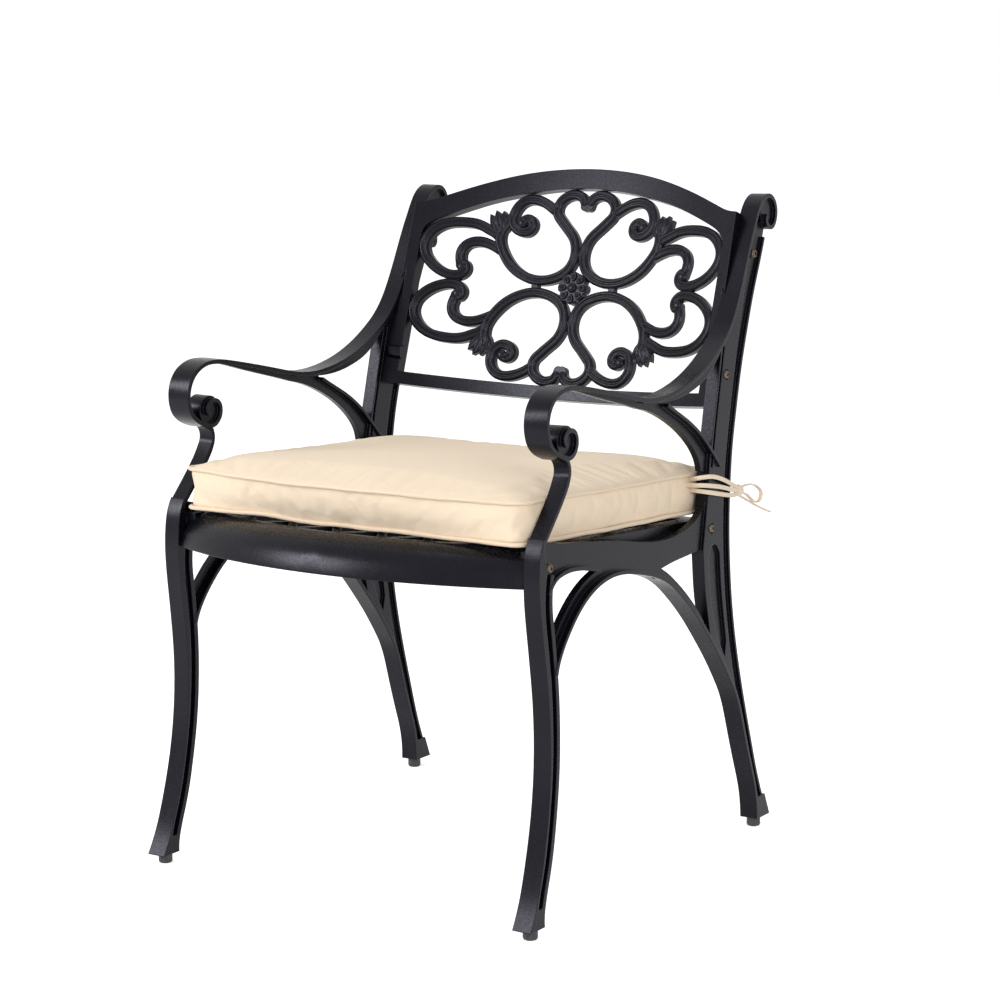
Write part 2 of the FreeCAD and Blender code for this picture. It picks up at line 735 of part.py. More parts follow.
def apron():
    """The rolled front edge, a quarter round turned about the bow's centre."""
    centre_y = apron_front + apron_radius
    outer = apron_radius
    inner = apron_radius - apron_wall
    outside = []
    for step in range(apron_steps + 1):
        angle = math.pi / 2 * step / apron_steps
        outside.append(V(outer - apron_roll * (1 - math.cos(angle)), 0, -apron_roll * (1 - math.sin(angle))))
    turn = (apron_roll - apron_wall) * (1 - math.sqrt(0.5))
    inside = [
        V(inner, 0, -apron_roll),
        V(inner - turn, 0, -apron_wall - turn),
        V(outer - apron_roll, 0, -apron_wall),
    ]
    foot = [V(inner, 0, -apron_drop), V(outer, 0, -apron_drop)]
    profile = Part.makePolygon(foot + outside + inside[::-1] + [foot[0]])
    half_width = seat_half_width()
    half_angle = math.degrees(math.asin(half_width / (apron_radius - apron_roll)))
    solid = Part.Face(profile).revolve(V(0, 0, 0), V(0, 0, 1), 2 * half_angle)
    solid.rotate(V(0, 0, 0), V(0, 0, 1), -90 - half_angle)
    solid.translate(V(0, centre_y, 0))
    low = V(-half_width, apron_front - apron_wall, -2 * apron_roll)
    room = Part.makeBox(2 * half_width, apron_radius, 4 * apron_roll, low)
    return solid.common(room)


def seat_panel():
    """The cast seat: a diamond lattice in a rim with a lip below, a rolled front and four lugs."""
    front_radius = apron_radius - apron_roll
    half_width = seat_half_width()
    field = bow_face(front_radius - front_rim, seat_depth - rear_rim, half_width - side_rim)
    plate = bow_face(front_radius + 1, seat_depth, half_width)
    plate = plate.cut(lattice_windows(field))
    panel = plate.translated(V(0, 0, -lattice_thickness)).extrude(V(0, 0, lattice_thickness))
    lip_outer = bow_face(front_radius - front_rim, seat_depth, half_width)
    lip_inner = bow_face(front_radius - front_rim + 1, seat_depth - rim_wall, half_width - rim_wall)
    lip = lip_outer.cut(lip_inner).translated(V(0, 0, -rim_depth)).extrude(V(0, 0, rim_depth - 1))
    panel = place_seat(panel.multiFuse([apron(), lip]))
    holes = []
    lugs = []
    for place in seat_bolts_at:
        top = seat_front_z - (place[0] - seat_front_y) * math.tan(math.radians(seat_slope)) - 1
        solid, hole = lug(place, 0, top)
        solid = solid.cut(plate_wedge(300, 600))
        lugs += both_sides(stand_right(solid))
        holes += both_sides(stand_right(hole))
    panel = panel.multiFuse(lugs)
    for hole in holes:
        panel = panel.cut(hole)
    return panel


def cushion_outline(inset, set_back, height):
    """The cushion's plan at a height: straight runs that face the same ways at every height."""
    half = cushion_width / 2 - inset
    corner = cushion_corner + 0.5 * inset
    front = cushion_front + inset + set_back
    rear = cushion_rear - inset
    bow_radius = (half ** 2 + cushion_bow ** 2) / (2 * cushion_bow)
    round_x = half - corner
    round_y = front + bow_radius - math.sqrt((bow_radius - corner) ** 2 - round_x ** 2)
    lines = []
    for turn in cushion_turns:
        away = V(math.cos(math.radians(turn)), math.sin(math.radians(turn)), 0)
        if abs(turn - 270) < cushion_front_turn:
            reach = away.y * (front + bow_radius) + bow_radius
        elif away.y > -0.01:
            reach = abs(away.x) * round_x + away.y * (rear - corner) + corner
        else:
            reach = abs(away.x) * round_x + away.y * round_y + corner
        lines.append((away, reach))
    places = []
    for (before, reach), (after, after_reach) in zip(lines, lines[1:] + lines[:1]):
        cross = before.x * after.y - before.y * after.x
        x = (reach * after.y - after_reach * before.y) / cross
        y = (before.x * after_reach - after.x * reach) / cross
        places.append(V(x, y, height))
    return places


def seat_cushion():
    """The boxed cushion: a low belly, sides drawn in between the two seams and a crowned top."""
    sections = []
    belly = cushion_lower_edge - cushion_gap
    for share in (1.0, 0.5, 0.16):
        drop = math.sqrt(1 - (1 - share) ** 2)
        sections.append((cushion_crown_reach * share, cushion_set_back, cushion_lower_edge - belly * drop))
    boxing = cushion_upper_edge - cushion_lower_edge
    for share in (0.0, 0.2, 0.5, 0.8, 1.0):
        pinch = cushion_pinch * math.sin(math.pi * share)
        set_back = cushion_set_back * (1 - share)
        sections.append((pinch, set_back, cushion_lower_edge + boxing * share))
    for share in (0.04, 0.14, 0.3, 0.6, 1.0):
        rise = math.sqrt(1 - (1 - share) ** 2)
        sections.append((cushion_crown_reach * share, 0, cushion_upper_edge + cushion_crown * rise))
    return place_seat(faceted([cushion_outline(*section) for section in sections]))


def polygon_ring(centre, along, radius, sides):
    """The corners of a polygon round a centre, square to a direction."""
    circle = Part.Circle(centre, along, radius)
    return [circle.value(2 * math.pi * side / sides) for side in range(sides)]


def tube(points, radius, name):
    """A tie along straight runs joined by tangent arcs, each as large as its two runs allow."""
    corners = [V(*point) for point in points]
    edges = []
    last = corners[0]
    radii = []
    for before, here, after in zip(corners, corners[1:], corners[2:]):
        to_before = (before - here).normalize()
        to_after = (after - here).normalize()
        turn = math.pi - to_before.getAngle(to_after)
        reach = 0.45 * min((before - here).Length, (after - here).Length)
        bend = reach / math.tan(turn / 2)
        radii.append(bend)
        inward = (to_before + to_after).normalize()
        middle = here + inward * (math.hypot(bend, reach) - bend)
        start = here + to_before * reach
        end = here + to_after * reach
        edges.append(Part.LineSegment(last, start).toShape())
        edges.append(Part.Arc(start, middle, end).toShape())
        last = end
    edges.append(Part.LineSegment(last, corners[-1]).toShape())
    path = Part.Wire(edges)
    section = polygon_ring(corners[0], corners[1] - corners[0], radius, tie_sides)
    solid = path.makePipeShell([Part.makePolygon(section + section[:1])], True, False)
    wanted = face_inside(section).Area * path.Length
    print(name, "length", round(path.Length, 1), "radii", [round(bend, 1) for bend in radii],
          "volume over section times length", round(solid.Volume / wanted, 3))
    return solid


# Cushion tie on the sitter's left: points in the chair, with y from the front foot
tie_upper = [(240, 404, 472), (254, 399, 475), (267, 399.5, 477), (275, 410, 476.5), (275.5, 436, 469),
             (273.5, 467, 456.5), (265, 496, 449)]
tie_middle = [(240, 395, 464), (254, 390, 466), (267, 390.5, 468.5), (275.5, 401, 468.5), (276.5, 430, 462.5),
              (274, 468, 450), (264, 496, 446)]
tie_lower = [(240, 402, 455), (254, 397, 456), (267, 397.5, 457), (275, 408, 456), (275.5, 434, 451),
             (273.5, 467, 444), (264, 496, 442.5)]
tie_loop = [(265.5, 496, 450), (267, 514, 450), (266, 532, 445.5), (264, 546, 439), (262.5, 555, 432.5),
            (261, 554, 426.5), (260.5, 545, 427.5), (262, 530, 434), (264.5, 513, 441.5), (265.5, 496, 443.5)]
tie_tail = [(258, 496, 441.5), (256, 514, 436), (256, 534, 427.5), (258, 553, 418.5), (260, 571, 411),
            (261, 587, 405.5)]


def tie_pieces(cushion):
    """The strands, knot, loop and tail of one tie, cut where they meet the cushion and the knot."""
    place = V(0, -depth_centre, 0)
    rings = []
    for share in (-0.95, -0.6, 0, 0.6, 0.95):
        centre = V(*tie_knot_at) + place + V(0, tie_knot_radius * share, 0)
        radius = tie_knot_radius * math.sqrt(1 - share ** 2)
        rings.append(polygon_ring(centre, V(0, 1, 0), radius, tie_knot_sides))
    knot = faceted(rings)
    shapes = {"knot": knot}
    routes_of = {"strands": [tie_upper, tie_middle, tie_lower], "bow": [tie_loop], "tail": [tie_tail]}
    for name, routes in routes_of.items():
        solids = []
        for route in routes:
            solids += tube(route, tie_radius, name).translated(place).cut([knot, cushion]).Solids
        shapes[name] = Part.makeCompound(solids)
    return shapes


os.makedirs("parts", exist_ok=True)
nodes = {}
flat_frame = side_frame()
right = feet_cut(stand_right(drilled(flat_frame, seat_bolts_at + back_bolts_at)))
nodes["left_side_frame"] = right
nodes["right_side_frame"] = mirrored(right)
nodes["back_panel"] = back_panel()
nodes["seat_panel"] = seat_panel()
for group, places in (("seat", seat_bolts_at), ("back", back_bolts_at)):
    stacks = [bolt_stack(place) for place in places]
    for index, name in enumerate(("bolts", "spring_washers", "flat_washers")):
        solids = []
        for stack in stacks:
            solids += both_sides(stand_right(stack[index]))
        nodes[group + "_" + name] = Part.makeCompound(solids)
for name, y in (("front", front_foot_y), ("rear", rear_foot_y)):
    nodes[name + "_glides"] = Part.makeCompound(both_sides(glide(y)))
nodes["seat_cushion"] = seat_cushion()
for name, shape in tie_pieces(nodes["seat_cushion"]).items():
    nodes["left_tie_" + name] = shape
    nodes["right_tie_" + name] = mirrored(shape)

for name, shape in nodes.items():
    shape.exportStep("parts/" + name + ".step")
    box = shape.BoundBox
    print(name, len(shape.Solids), shape.isValid(), round(shape.Volume),
          [round(value, 1) for value in (box.XMin, box.XMax, box.YMin, box.YMax, box.ZMin, box.ZMax)])
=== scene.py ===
# %% [markdown]
# A cast garden armchair with a boxed cushion. The castings come from the CAD frame, which says where
# every piece is. This script gives them their finish, carves the fretwork, sews the cushion and its
# ties, and sets up a plain studio. Lengths are in metres, and the chair faces -Y.

# %% Load the frame
import math

import bmesh
import bpy
import numpy as np
from mathutils import Matrix, Vector


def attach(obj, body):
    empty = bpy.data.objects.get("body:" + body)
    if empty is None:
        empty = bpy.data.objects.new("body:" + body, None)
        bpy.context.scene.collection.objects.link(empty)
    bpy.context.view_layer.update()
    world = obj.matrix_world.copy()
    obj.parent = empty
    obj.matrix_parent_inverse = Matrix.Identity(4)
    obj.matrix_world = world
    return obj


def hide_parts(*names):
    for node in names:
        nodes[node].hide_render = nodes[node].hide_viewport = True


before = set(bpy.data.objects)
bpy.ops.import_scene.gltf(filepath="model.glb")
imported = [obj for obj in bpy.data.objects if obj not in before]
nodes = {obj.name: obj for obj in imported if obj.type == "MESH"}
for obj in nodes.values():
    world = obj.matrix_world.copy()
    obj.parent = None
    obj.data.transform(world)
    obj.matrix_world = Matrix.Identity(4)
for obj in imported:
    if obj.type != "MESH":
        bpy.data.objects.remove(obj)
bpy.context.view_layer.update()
scene = bpy.context.scene
scene.view_settings.view_transform = "Standard"

# %% [markdown]
# The photograph was taken with a long lens from the sitter's left and a little above the arms. A
# camera could be nudged by hand until the picture fits. Here it is set by two angles, a small roll,
# its place and its focal length in pixels of a 1000 pixel wide picture, which were worked out from
# the symmetry of the two side frames. Depths in this script were first read from the front feet, and
# the frame's origin lies 271 mm behind them.

# %% Camera
foot_to_frame = 0.271


def studio_camera(azimuth, elevation, roll, place, focal):
    """A camera that looks level azimuth degrees left of +Y and elevation degrees down, then rolls."""
    az, el, ro = (math.radians(angle) for angle in (azimuth, elevation, roll))
    forward = Vector((-math.sin(az) * math.cos(el), math.cos(az) * math.cos(el), -math.sin(el)))
    right = forward.cross(Vector((0, 0, 1))).normalized()
    up = right.cross(forward)
    level_x = right * math.cos(ro) + up * math.sin(ro)
    level_y = up * math.cos(ro) - right * math.sin(ro)
    camera = bpy.data.objects.new("camera", bpy.data.cameras.new("camera"))
    camera.data.sensor_width = 36
    camera.data.lens = focal / 1000 * 36
    turned = Matrix((level_x, level_y, -forward)).transposed().to_4x4()
    camera.matrix_world = Matrix.Translation(place) @ turned
    scene.collection.objects.link(camera)
    scene.camera = camera
    return camera


camera = studio_camera(33.447, 9.497, -0.22, Vector((1.8172, -2.4015 - foot_to_frame, 0.98255)), 2630)
print("lens", round(camera.data.lens, 2), "mm")

# %% [markdown]
# All the new surfaces are grids of points: rows run one way and columns the other. They could be
# modelled by hand in Edit Mode, but a formula gives every strand and ring the same care. The helpers
# number the faces of a grid, joined round where asked, make a piece whose faces point out, read a
# mesh's points back, and draw a smooth line through a few points.

# %% Grids and pieces
def grid_faces(rows, columns, round_rows=False, round_columns=False, start=0):
    """Corner numbers of the quads of a grid, joined round where asked."""
    row = np.arange(rows if round_rows else rows - 1)[:, None]
    column = np.arange(columns if round_columns else columns - 1)[None, :]
    below = (row + 1) % rows
    beside = (column + 1) % columns
    quads = np.stack([row * columns + column, row * columns + beside,
                      below * columns + beside, below * columns + column], axis=-1)
    return quads.reshape(-1, 4) + start


def make_piece(name, points, faces, material):
    """An object with its place in its mesh, faces pointing out, riding on the chair."""
    mesh = bpy.data.meshes.new(name)
    mesh.from_pydata(np.asarray(points).reshape(-1, 3), [], [list(map(int, face)) for face in faces])
    mesh.materials.append(material)
    build = bmesh.new()
    build.from_mesh(mesh)
    bmesh.ops.recalc_face_normals(build, faces=build.faces)
    build.to_mesh(mesh)
    build.free()
    mesh.polygons.foreach_set("use_smooth", np.full(len(mesh.polygons), True))
    piece = bpy.data.objects.new(name, mesh)
    scene.collection.objects.link(piece)
    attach(piece, "root")
    return piece


print("grid helpers ready")

# %% Points and lines
def read_rows(mesh, kind="co"):
    """A mesh's vertices, or their normals, as rows of x, y, z."""
    flat = np.zeros(len(mesh.vertices) * 3)
    mesh.vertices.foreach_get(kind, flat)
    return flat.reshape(-1, 3)


def smooth_line(points, step):
    """A natural cubic spline through points, read every step along its chords."""
    points = np.asarray(points, float)
    run = np.r_[0, np.cumsum(np.linalg.norm(np.diff(points, axis=0), axis=1))]
    gap = np.diff(run)
    matrix = np.eye(len(points))
    inner = np.arange(1, len(points) - 1)
    matrix[inner, inner - 1] = gap[:-1]
    matrix[inner, inner] = 2 * (gap[:-1] + gap[1:])
    matrix[inner, inner + 1] = gap[1:]
    slope = np.diff(points, axis=0) / gap[:, None]
    right = np.zeros_like(points)
    right[1:-1] = 6 * np.diff(slope, axis=0)
    bend = np.linalg.solve(matrix, right)
    wanted = np.linspace(0, run[-1], max(8, int(run[-1] / step)))
    piece = np.clip(np.searchsorted(run, wanted, side="right") - 1, 0, len(gap) - 1)
    before = (wanted - run[piece])[:, None]
    after = (run[piece + 1] - wanted)[:, None]
    wide = gap[piece][:, None]
    curve = (bend[piece] * after ** 3 + bend[piece + 1] * before ** 3) / (6 * wide)
    curve += (points[piece] / wide - bend[piece] * wide / 6) * after
    curve += (points[piece + 1] / wide - bend[piece + 1] * wide / 6) * before
    return curve


print("line helpers ready")

# %% [markdown]
# Materials come next, because every piece is made with one. They could be painted images. Here each is
# a small chain of nodes on Object coordinates or on a cloth's own UV map, which stays sharp from close
# by and has no seams. The main helper adds a node, sets its values and links its inputs.

# %% Node helper
def new_material(name):
    """An empty node material and its surface shader."""
    material = bpy.data.materials.new(name)
    material.use_nodes = True
    return material, material.node_tree.nodes["Principled BSDF"]


def add(material, kind, values=(), links=(), **settings):
    """A node with settings, socket values and links from other sockets."""
    node = material.node_tree.nodes.new("ShaderNode" + kind)
    for key, value in settings.items():
        setattr(node, key, value)
    for socket, value in dict(values).items():
        node.inputs[socket].default_value = value
    for socket, source in dict(links).items():
        material.node_tree.links.new(source, node.inputs[socket])
    return node


def ramp(material, source, stops):
    """A colour ramp over a value, from (position, colour) stops."""
    node = add(material, "ValToRGB", links={"Fac": source})
    band = node.color_ramp
    while len(band.elements) < len(stops):
        band.elements.new(0.5)
    for element, (position, colour) in zip(band.elements, stops):
        element.position = position
        element.color = (*colour, 1)
    return node.outputs["Color"]


# %% [markdown]
# The castings are powder coated: a baked paint skin, near black with a touch of blue, satin, with a
# faint orange peel. Sharp casting edges carry a rounder, slightly thinner skin. A Bevel modifier could
# round them, but it doesn't do well on the thin triangles of a CAD mesh. The Bevel node rounds only
# the normal, over about a millimetre, and there the rim is painted a shade lighter: partly the thinner
# skin, partly a painted highlight along the edge. Powder also gathers unevenly, so the colour drifts
# over a few centimetres and the gloss over a few millimetres. The carving gets the same coat, with
# hardly any rounding, because its beads are only a few millimetres wide, and a paler colour, which is
# painted light for the highlights that its beads catch.

# %% Powder coat
rim_wear_and_highlight_gain = 3.0
paint_gloss, paint_tint = 0.19, (0.86, 0.85, 1.0, 1)


def powder_coat(name, dark, light, rough, round_radius):
    """Satin powder coat: noise colour from dark to light, peel bump, round rims with painted highlight.
    """
    material, shader = new_material(name)
    link = material.node_tree.links.new
    place = add(material, "TexCoord").outputs["Object"]
    drift = add(material, "TexNoise", {"Scale": 22, "Detail": 4, "Roughness": 0.6}, {"Vector": place})
    peel = add(material, "TexNoise", {"Scale": 1100, "Detail": 2, "Roughness": 0.5}, {"Vector": place})
    speck = add(material, "TexNoise", {"Scale": 260, "Detail": 5, "Roughness": 0.7}, {"Vector": place})
    rounded = add(material, "Bevel", {"Radius": round_radius}, samples=8)
    flat = add(material, "NewGeometry").outputs["Normal"]
    along = add(material, "VectorMath", links={0: rounded.outputs["Normal"], 1: flat},
                operation="DOT_PRODUCT").outputs["Value"]
    # Painted highlight, with some thinner skin: where the rounded normal turns off the flat one, the
    # colour goes lighter.
    rim_wear_and_highlight = add(material, "MapRange", {"From Min": 0.995, "From Max": 0.82, "To Min": 0, "To Max": 0.55},
              {"Value": along}).outputs["Result"]
    base = ramp(material, drift.outputs["Fac"], [(0.32, dark), (0.7, light)])
    wear_and_highlight_tone = tuple(rim_wear_and_highlight_gain * value for value in light)
    tone = add(material, "Mix", {"B": (*wear_and_highlight_tone, 1)}, {"Factor": rim_wear_and_highlight, "A": base}, data_type="RGBA")
    link(tone.outputs["Result"], shader.inputs["Base Color"])
    dust = add(material, "MapRange", {"From Min": 0.3, "From Max": 0.75, "To Min": rough - 0.07,
                                      "To Max": rough + 0.09}, {"Value": speck.outputs["Fac"]})
    link(dust.outputs["Result"], shader.inputs["Roughness"])
    bump = add(material, "Bump", {"Strength": 0.16, "Distance": 0.0005},
               {"Height": peel.outputs["Fac"], "Normal": rounded.outputs["Normal"]})
    link(bump.outputs["Normal"], shader.inputs["Normal"])
    shader.inputs["Specular IOR Level"].default_value = paint_gloss
    shader.inputs["Specular Tint"].default_value = paint_tint
    return material


paint = powder_coat("paint_casting", (0.0016, 0.0017, 0.0030), (0.0040, 0.0042, 0.0070), 0.28, 0.0014)
# The carving's paint is paler than the castings': painted light for the highlights its beads catch.
carving_paint_with_painted_light = powder_coat("paint_carving_painted_light", (0.0045, 0.0046, 0.0068), (0.0100, 0.0102, 0.0142),
                            0.25, 0.0003)
print("paint ready")

# %% [markdown]
# The bolts and washers are blackened steel that has weathered to a dull bronze. The glides are moulded
# nylon: duller still, with a fine moulded grain. They are too small for a painted image to be worth
# its while. Noise a few millimetres in size gives the tarnish and the scuffs, a finer one the grain.

# %% Blackened steel and nylon
def blackened_steel():
    """Blackened steel: one fine noise sets the colour between two warm browns, the gloss and dents."""
    material, shader = new_material("blackened_steel")
    link = material.node_tree.links.new
    place = add(material, "TexCoord").outputs["Object"]
    stain = add(material, "TexNoise", {"Scale": 420, "Detail": 5, "Roughness": 0.65},
                {"Vector": place})
    colour = ramp(material, stain.outputs["Fac"],
                  [(0.3, (0.055, 0.042, 0.030)), (0.7, (0.21, 0.165, 0.12))])
    link(colour, shader.inputs["Base Color"])
    rough = add(material, "MapRange", {"To Min": 0.28, "To Max": 0.5}, {"Value": stain.outputs["Fac"]})
    link(rough.outputs["Result"], shader.inputs["Roughness"])
    rounded = add(material, "Bevel", {"Radius": 0.0003}, samples=4)
    bump = add(material, "Bump", {"Strength": 0.2, "Distance": 0.0001},
               {"Height": stain.outputs["Fac"], "Normal": rounded.outputs["Normal"]})
    link(bump.outputs["Normal"], shader.inputs["Normal"])
    shader.inputs["Metallic"].default_value = 1.0
    return material


def moulded_nylon():
    """Dull nylon: dark grey with a fine grain and scuffs that pale it in patches."""
    material, shader = new_material("moulded_nylon")
    link = material.node_tree.links.new
    place = add(material, "TexCoord").outputs["Object"]
    scuff = add(material, "TexNoise", {"Scale": 180, "Detail": 6, "Roughness": 0.7}, {"Vector": place})
    grain = add(material, "TexNoise", {"Scale": 2600, "Detail": 2}, {"Vector": place})
    colour = ramp(material, scuff.outputs["Fac"],
                  [(0.35, (0.022, 0.023, 0.025)), (0.75, (0.07, 0.07, 0.072))])
    link(colour, shader.inputs["Base Color"])
    bump = add(material, "Bump", {"Strength": 0.25, "Distance": 0.0002},
               {"Height": grain.outputs["Fac"]})
    link(bump.outputs["Normal"], shader.inputs["Normal"])
    shader.inputs["Roughness"].default_value = 0.62
    return material


steel = blackened_steel()
nylon = moulded_nylon()
print("steel and nylon ready")

# %% [markdown]
# The cushion is outdoor canvas, beige, in a plain weave. A picture of cloth would repeat, and blur from
# close by. Here warp and weft are two sets of waves across each other on the cloth's own UV map, in
# metres. Single threads differ, so noise that is stretched along each thread lightens and darkens it.
# A soft sheen stands for the fuzz of the yarn.

# %% Canvas
def canvas(name, dark, light, pitch, bump_strength):
    """Plain weave: the warp and weft chequer sets height and a painted shade; colour drifts thread by
    thread.
    """
    material, shader = new_material(name)
    link = material.node_tree.links.new
    cloth = add(material, "UVMap", uv_map="cloth").outputs["UV"]
    place = add(material, "TexCoord").outputs["Object"]
    turns = 2 * math.pi / pitch
    split = add(material, "SeparateXYZ", links={"Vector": cloth})
    waves = []
    for axis in ("X", "Y"):
        angle = add(material, "Math", {1: turns}, {0: split.outputs[axis]}, operation="MULTIPLY")
        waves.append(add(material, "Math", links={0: angle.outputs[0]}, operation="SINE").outputs[0])
    weave = add(material, "Math", links={0: waves[0], 1: waves[1]}, operation="MULTIPLY").outputs[0]
    slubs = []
    for stretch in ((140, 900, 1), (900, 140, 1)):
        long = add(material, "Mapping", {"Scale": stretch}, {"Vector": cloth})
        slubs.append(add(material, "TexNoise", {"Scale": 1.0, "Detail": 3, "Roughness": 0.6},
                         {"Vector": long.outputs["Vector"]}).outputs["Fac"])
    threads = add(material, "Math", links={0: slubs[0], 1: slubs[1]}, operation="ADD").outputs[0]
    drift = add(material, "TexNoise", {"Scale": 9, "Detail": 4}, {"Vector": place}).outputs["Fac"]
    mixed = add(material, "Math", {1: 0.35}, {0: drift}, operation="MULTIPLY").outputs[0]
    tone = add(material, "Math", links={0: threads, 1: mixed}, operation="ADD").outputs[0]
    # Painted shade and light on the weave: the colour darkens where the threads dip and lightens where
    # they cross.
    painted_weave_shade = add(material, "Math", {1: 0.05}, {0: weave}, operation="MULTIPLY").outputs[0]
    tone = add(material, "Math", links={0: tone, 1: painted_weave_shade}, operation="ADD").outputs[0]
    link(ramp(material, tone, [(0.85, dark), (1.45, light)]), shader.inputs["Base Color"])
    height = add(material, "Math", {1: 0.4}, {0: weave}, operation="MULTIPLY").outputs[0]
    height = add(material, "Math", links={0: height, 1: threads}, operation="ADD").outputs[0]
    bump = add(material, "Bump", {"Strength": bump_strength, "Distance": 0.0005}, {"Height": height})
    link(bump.outputs["Normal"], shader.inputs["Normal"])
    shader.inputs["Roughness"].default_value = 0.88
    shader.inputs["Sheen Weight"].default_value = 0.12
    shader.inputs["Sheen Roughness"].default_value = 0.5
    return material


cover = canvas("canvas_cover", (0.60, 0.455, 0.305), (0.82, 0.675, 0.505), 0.0016, 0.35)
piping_cloth = canvas("canvas_piping", (0.60, 0.45, 0.30), (0.82, 0.67, 0.50), 0.0013, 0.45)
tie_cloth = canvas("canvas_tie", (0.55, 0.42, 0.29), (0.80, 0.67, 0.51), 0.0013, 0.5)
print("canvas ready")

# %% [markdown]
# The ties are narrow strips of the same canvas, folded and sewn flat. Each side has three strands
# that leave the cushion, pass round the frame's post and meet in a knot, with one loop and one tail.
# A tie lies where gravity and the pull of the knot leave it. It could be simulated as a rope, but the
# knot would hardly come out tied. So its line is a smooth spline on a few chosen points, and the strap
# is a flat oval carried along that line.

# %% Tie routes
tie_shift = np.array([0, -foot_to_frame, 0])
tie_routes = {
    "strand_upper": [(0.240, 0.404, 0.470), (0.254, 0.399, 0.473), (0.267, 0.3995, 0.476),
                     (0.275, 0.410, 0.4765), (0.2755, 0.436, 0.469), (0.2735, 0.467, 0.4565),
                     (0.265, 0.496, 0.449)],
    "strand_middle": [(0.240, 0.395, 0.465), (0.254, 0.390, 0.466), (0.267, 0.3905, 0.467),
                      (0.2755, 0.401, 0.466), (0.2765, 0.430, 0.4605), (0.274, 0.468, 0.4505),
                      (0.264, 0.496, 0.446)],
    "strand_lower": [(0.240, 0.402, 0.459), (0.254, 0.397, 0.459), (0.267, 0.3975, 0.4585),
                     (0.275, 0.408, 0.456), (0.2755, 0.434, 0.4505), (0.2735, 0.467, 0.444),
                     (0.264, 0.496, 0.4425)],
    "bow": [(0.2655, 0.496, 0.450), (0.267, 0.514, 0.452), (0.266, 0.532, 0.449),
            (0.264, 0.549, 0.4425), (0.2625, 0.561, 0.434), (0.261, 0.558, 0.423),
            (0.2605, 0.545, 0.4235), (0.262, 0.530, 0.4315), (0.2645, 0.513, 0.4405),
            (0.2655, 0.496, 0.4435)],
    "tail": [(0.258, 0.496, 0.4415), (0.256, 0.514, 0.436), (0.256, 0.534, 0.4275),
             (0.258, 0.553, 0.4185), (0.260, 0.571, 0.411), (0.261, 0.587, 0.4055)],
}
print("tie routes", len(tie_routes))

# %% Strap along a route
def tie_line(name, points):
    """The points that a NURBS spline of order 3 on the route's points passes through."""
    curve = bpy.data.curves.new(name, "CURVE")
    curve.dimensions = "3D"
    curve.resolution_u = 20
    spline = curve.splines.new("NURBS")
    spline.points.add(len(points) - 1)
    spline.points.foreach_set("co", np.c_[points, np.ones(len(points))].ravel())
    spline.order_u = 3
    spline.use_endpoint_u = True
    holder = bpy.data.objects.new(name, curve)
    mesh = bpy.data.meshes.new_from_object(holder)
    line = read_rows(mesh)
    bpy.data.objects.remove(holder)
    bpy.data.curves.remove(curve)
    bpy.data.meshes.remove(mesh)
    return line


def flat_tube(line, width, thickness, wide_way, corners=16):
    """A flat oval along a line: width along wide_way, square to the line, and thickness across it."""
    along = np.gradient(line, axis=0)
    along /= np.linalg.norm(along, axis=1)[:, None]
    wide = wide_way - (along @ wide_way)[:, None] * along
    wide /= np.linalg.norm(wide, axis=1)[:, None]
    thick = np.cross(along, wide)
    turn = np.linspace(0, 2 * np.pi, corners, endpoint=False)
    across = np.sign(np.cos(turn)) * np.abs(np.cos(turn)) ** 0.8 * width / 2
    out = np.sign(np.sin(turn)) * np.abs(np.sin(turn)) ** 0.55 * thickness / 2
    out *= 1 - 0.3 * np.exp(-((np.abs(across) - 0.32 * width) / (0.07 * width)) ** 2)
    return line[:, None] + wide[:, None] * across[None, :, None] + thick[:, None] * out[None, :, None]


def tube_faces(rows, corners):
    """Quads round a tube and one face over each end."""
    sides = grid_faces(rows, corners, round_columns=True).tolist()
    return sides + [list(range(corners)), list(range((rows - 1) * corners, rows * corners))]


def cloth_uv(piece, across, along):
    """The cloth's UV map in metres, from two values per vertex."""
    mesh = piece.data
    corner = np.zeros(len(mesh.loops), int)
    mesh.loops.foreach_get("vertex_index", corner)
    layer = mesh.uv_layers.new(name="cloth")
    layer.data.foreach_set("uv", np.c_[across, along][corner].ravel())


print("strap helpers ready")

# %% [markdown]
# The knot is where the three strands end and where the bow and the tail begin. Its crossings could be
# followed one by one, but it is only 16 mm across, and a ball with three wound ridges reads the same.
# A strap is given as its width and its thickness, and the bow and the tail are a little slimmer than
# the strands. The other side is the mirror image, with its faces turned out again after the flip.

# %% Tie knot
def tie_knot(centre, radius):
    """A knot: a ball swollen by three turns of strap, as ridges that wind from pole to pole."""
    rows, columns = 25, 48
    lat = np.linspace(0, np.pi, rows)[:, None]
    lon = np.linspace(0, 2 * np.pi, columns, endpoint=False)[None, :]
    swell = 1 - 0.16 * np.abs(np.sin(1.5 * (lon + 1.7 * lat))) ** 4 * np.sin(lat)
    x = swell * np.sin(lat) * np.cos(lon) * 0.80
    y = swell * np.cos(lat) * np.ones_like(lon) * 0.92
    z = swell * np.sin(lat) * np.sin(lon) * 0.98
    return np.stack([x, y, z], axis=-1) * radius + centre, lat, lon


knot_place, knot_radius = np.array([0.264, 0.496, 0.446]), 0.008
print("knot", round(knot_radius * 2000), "mm across")

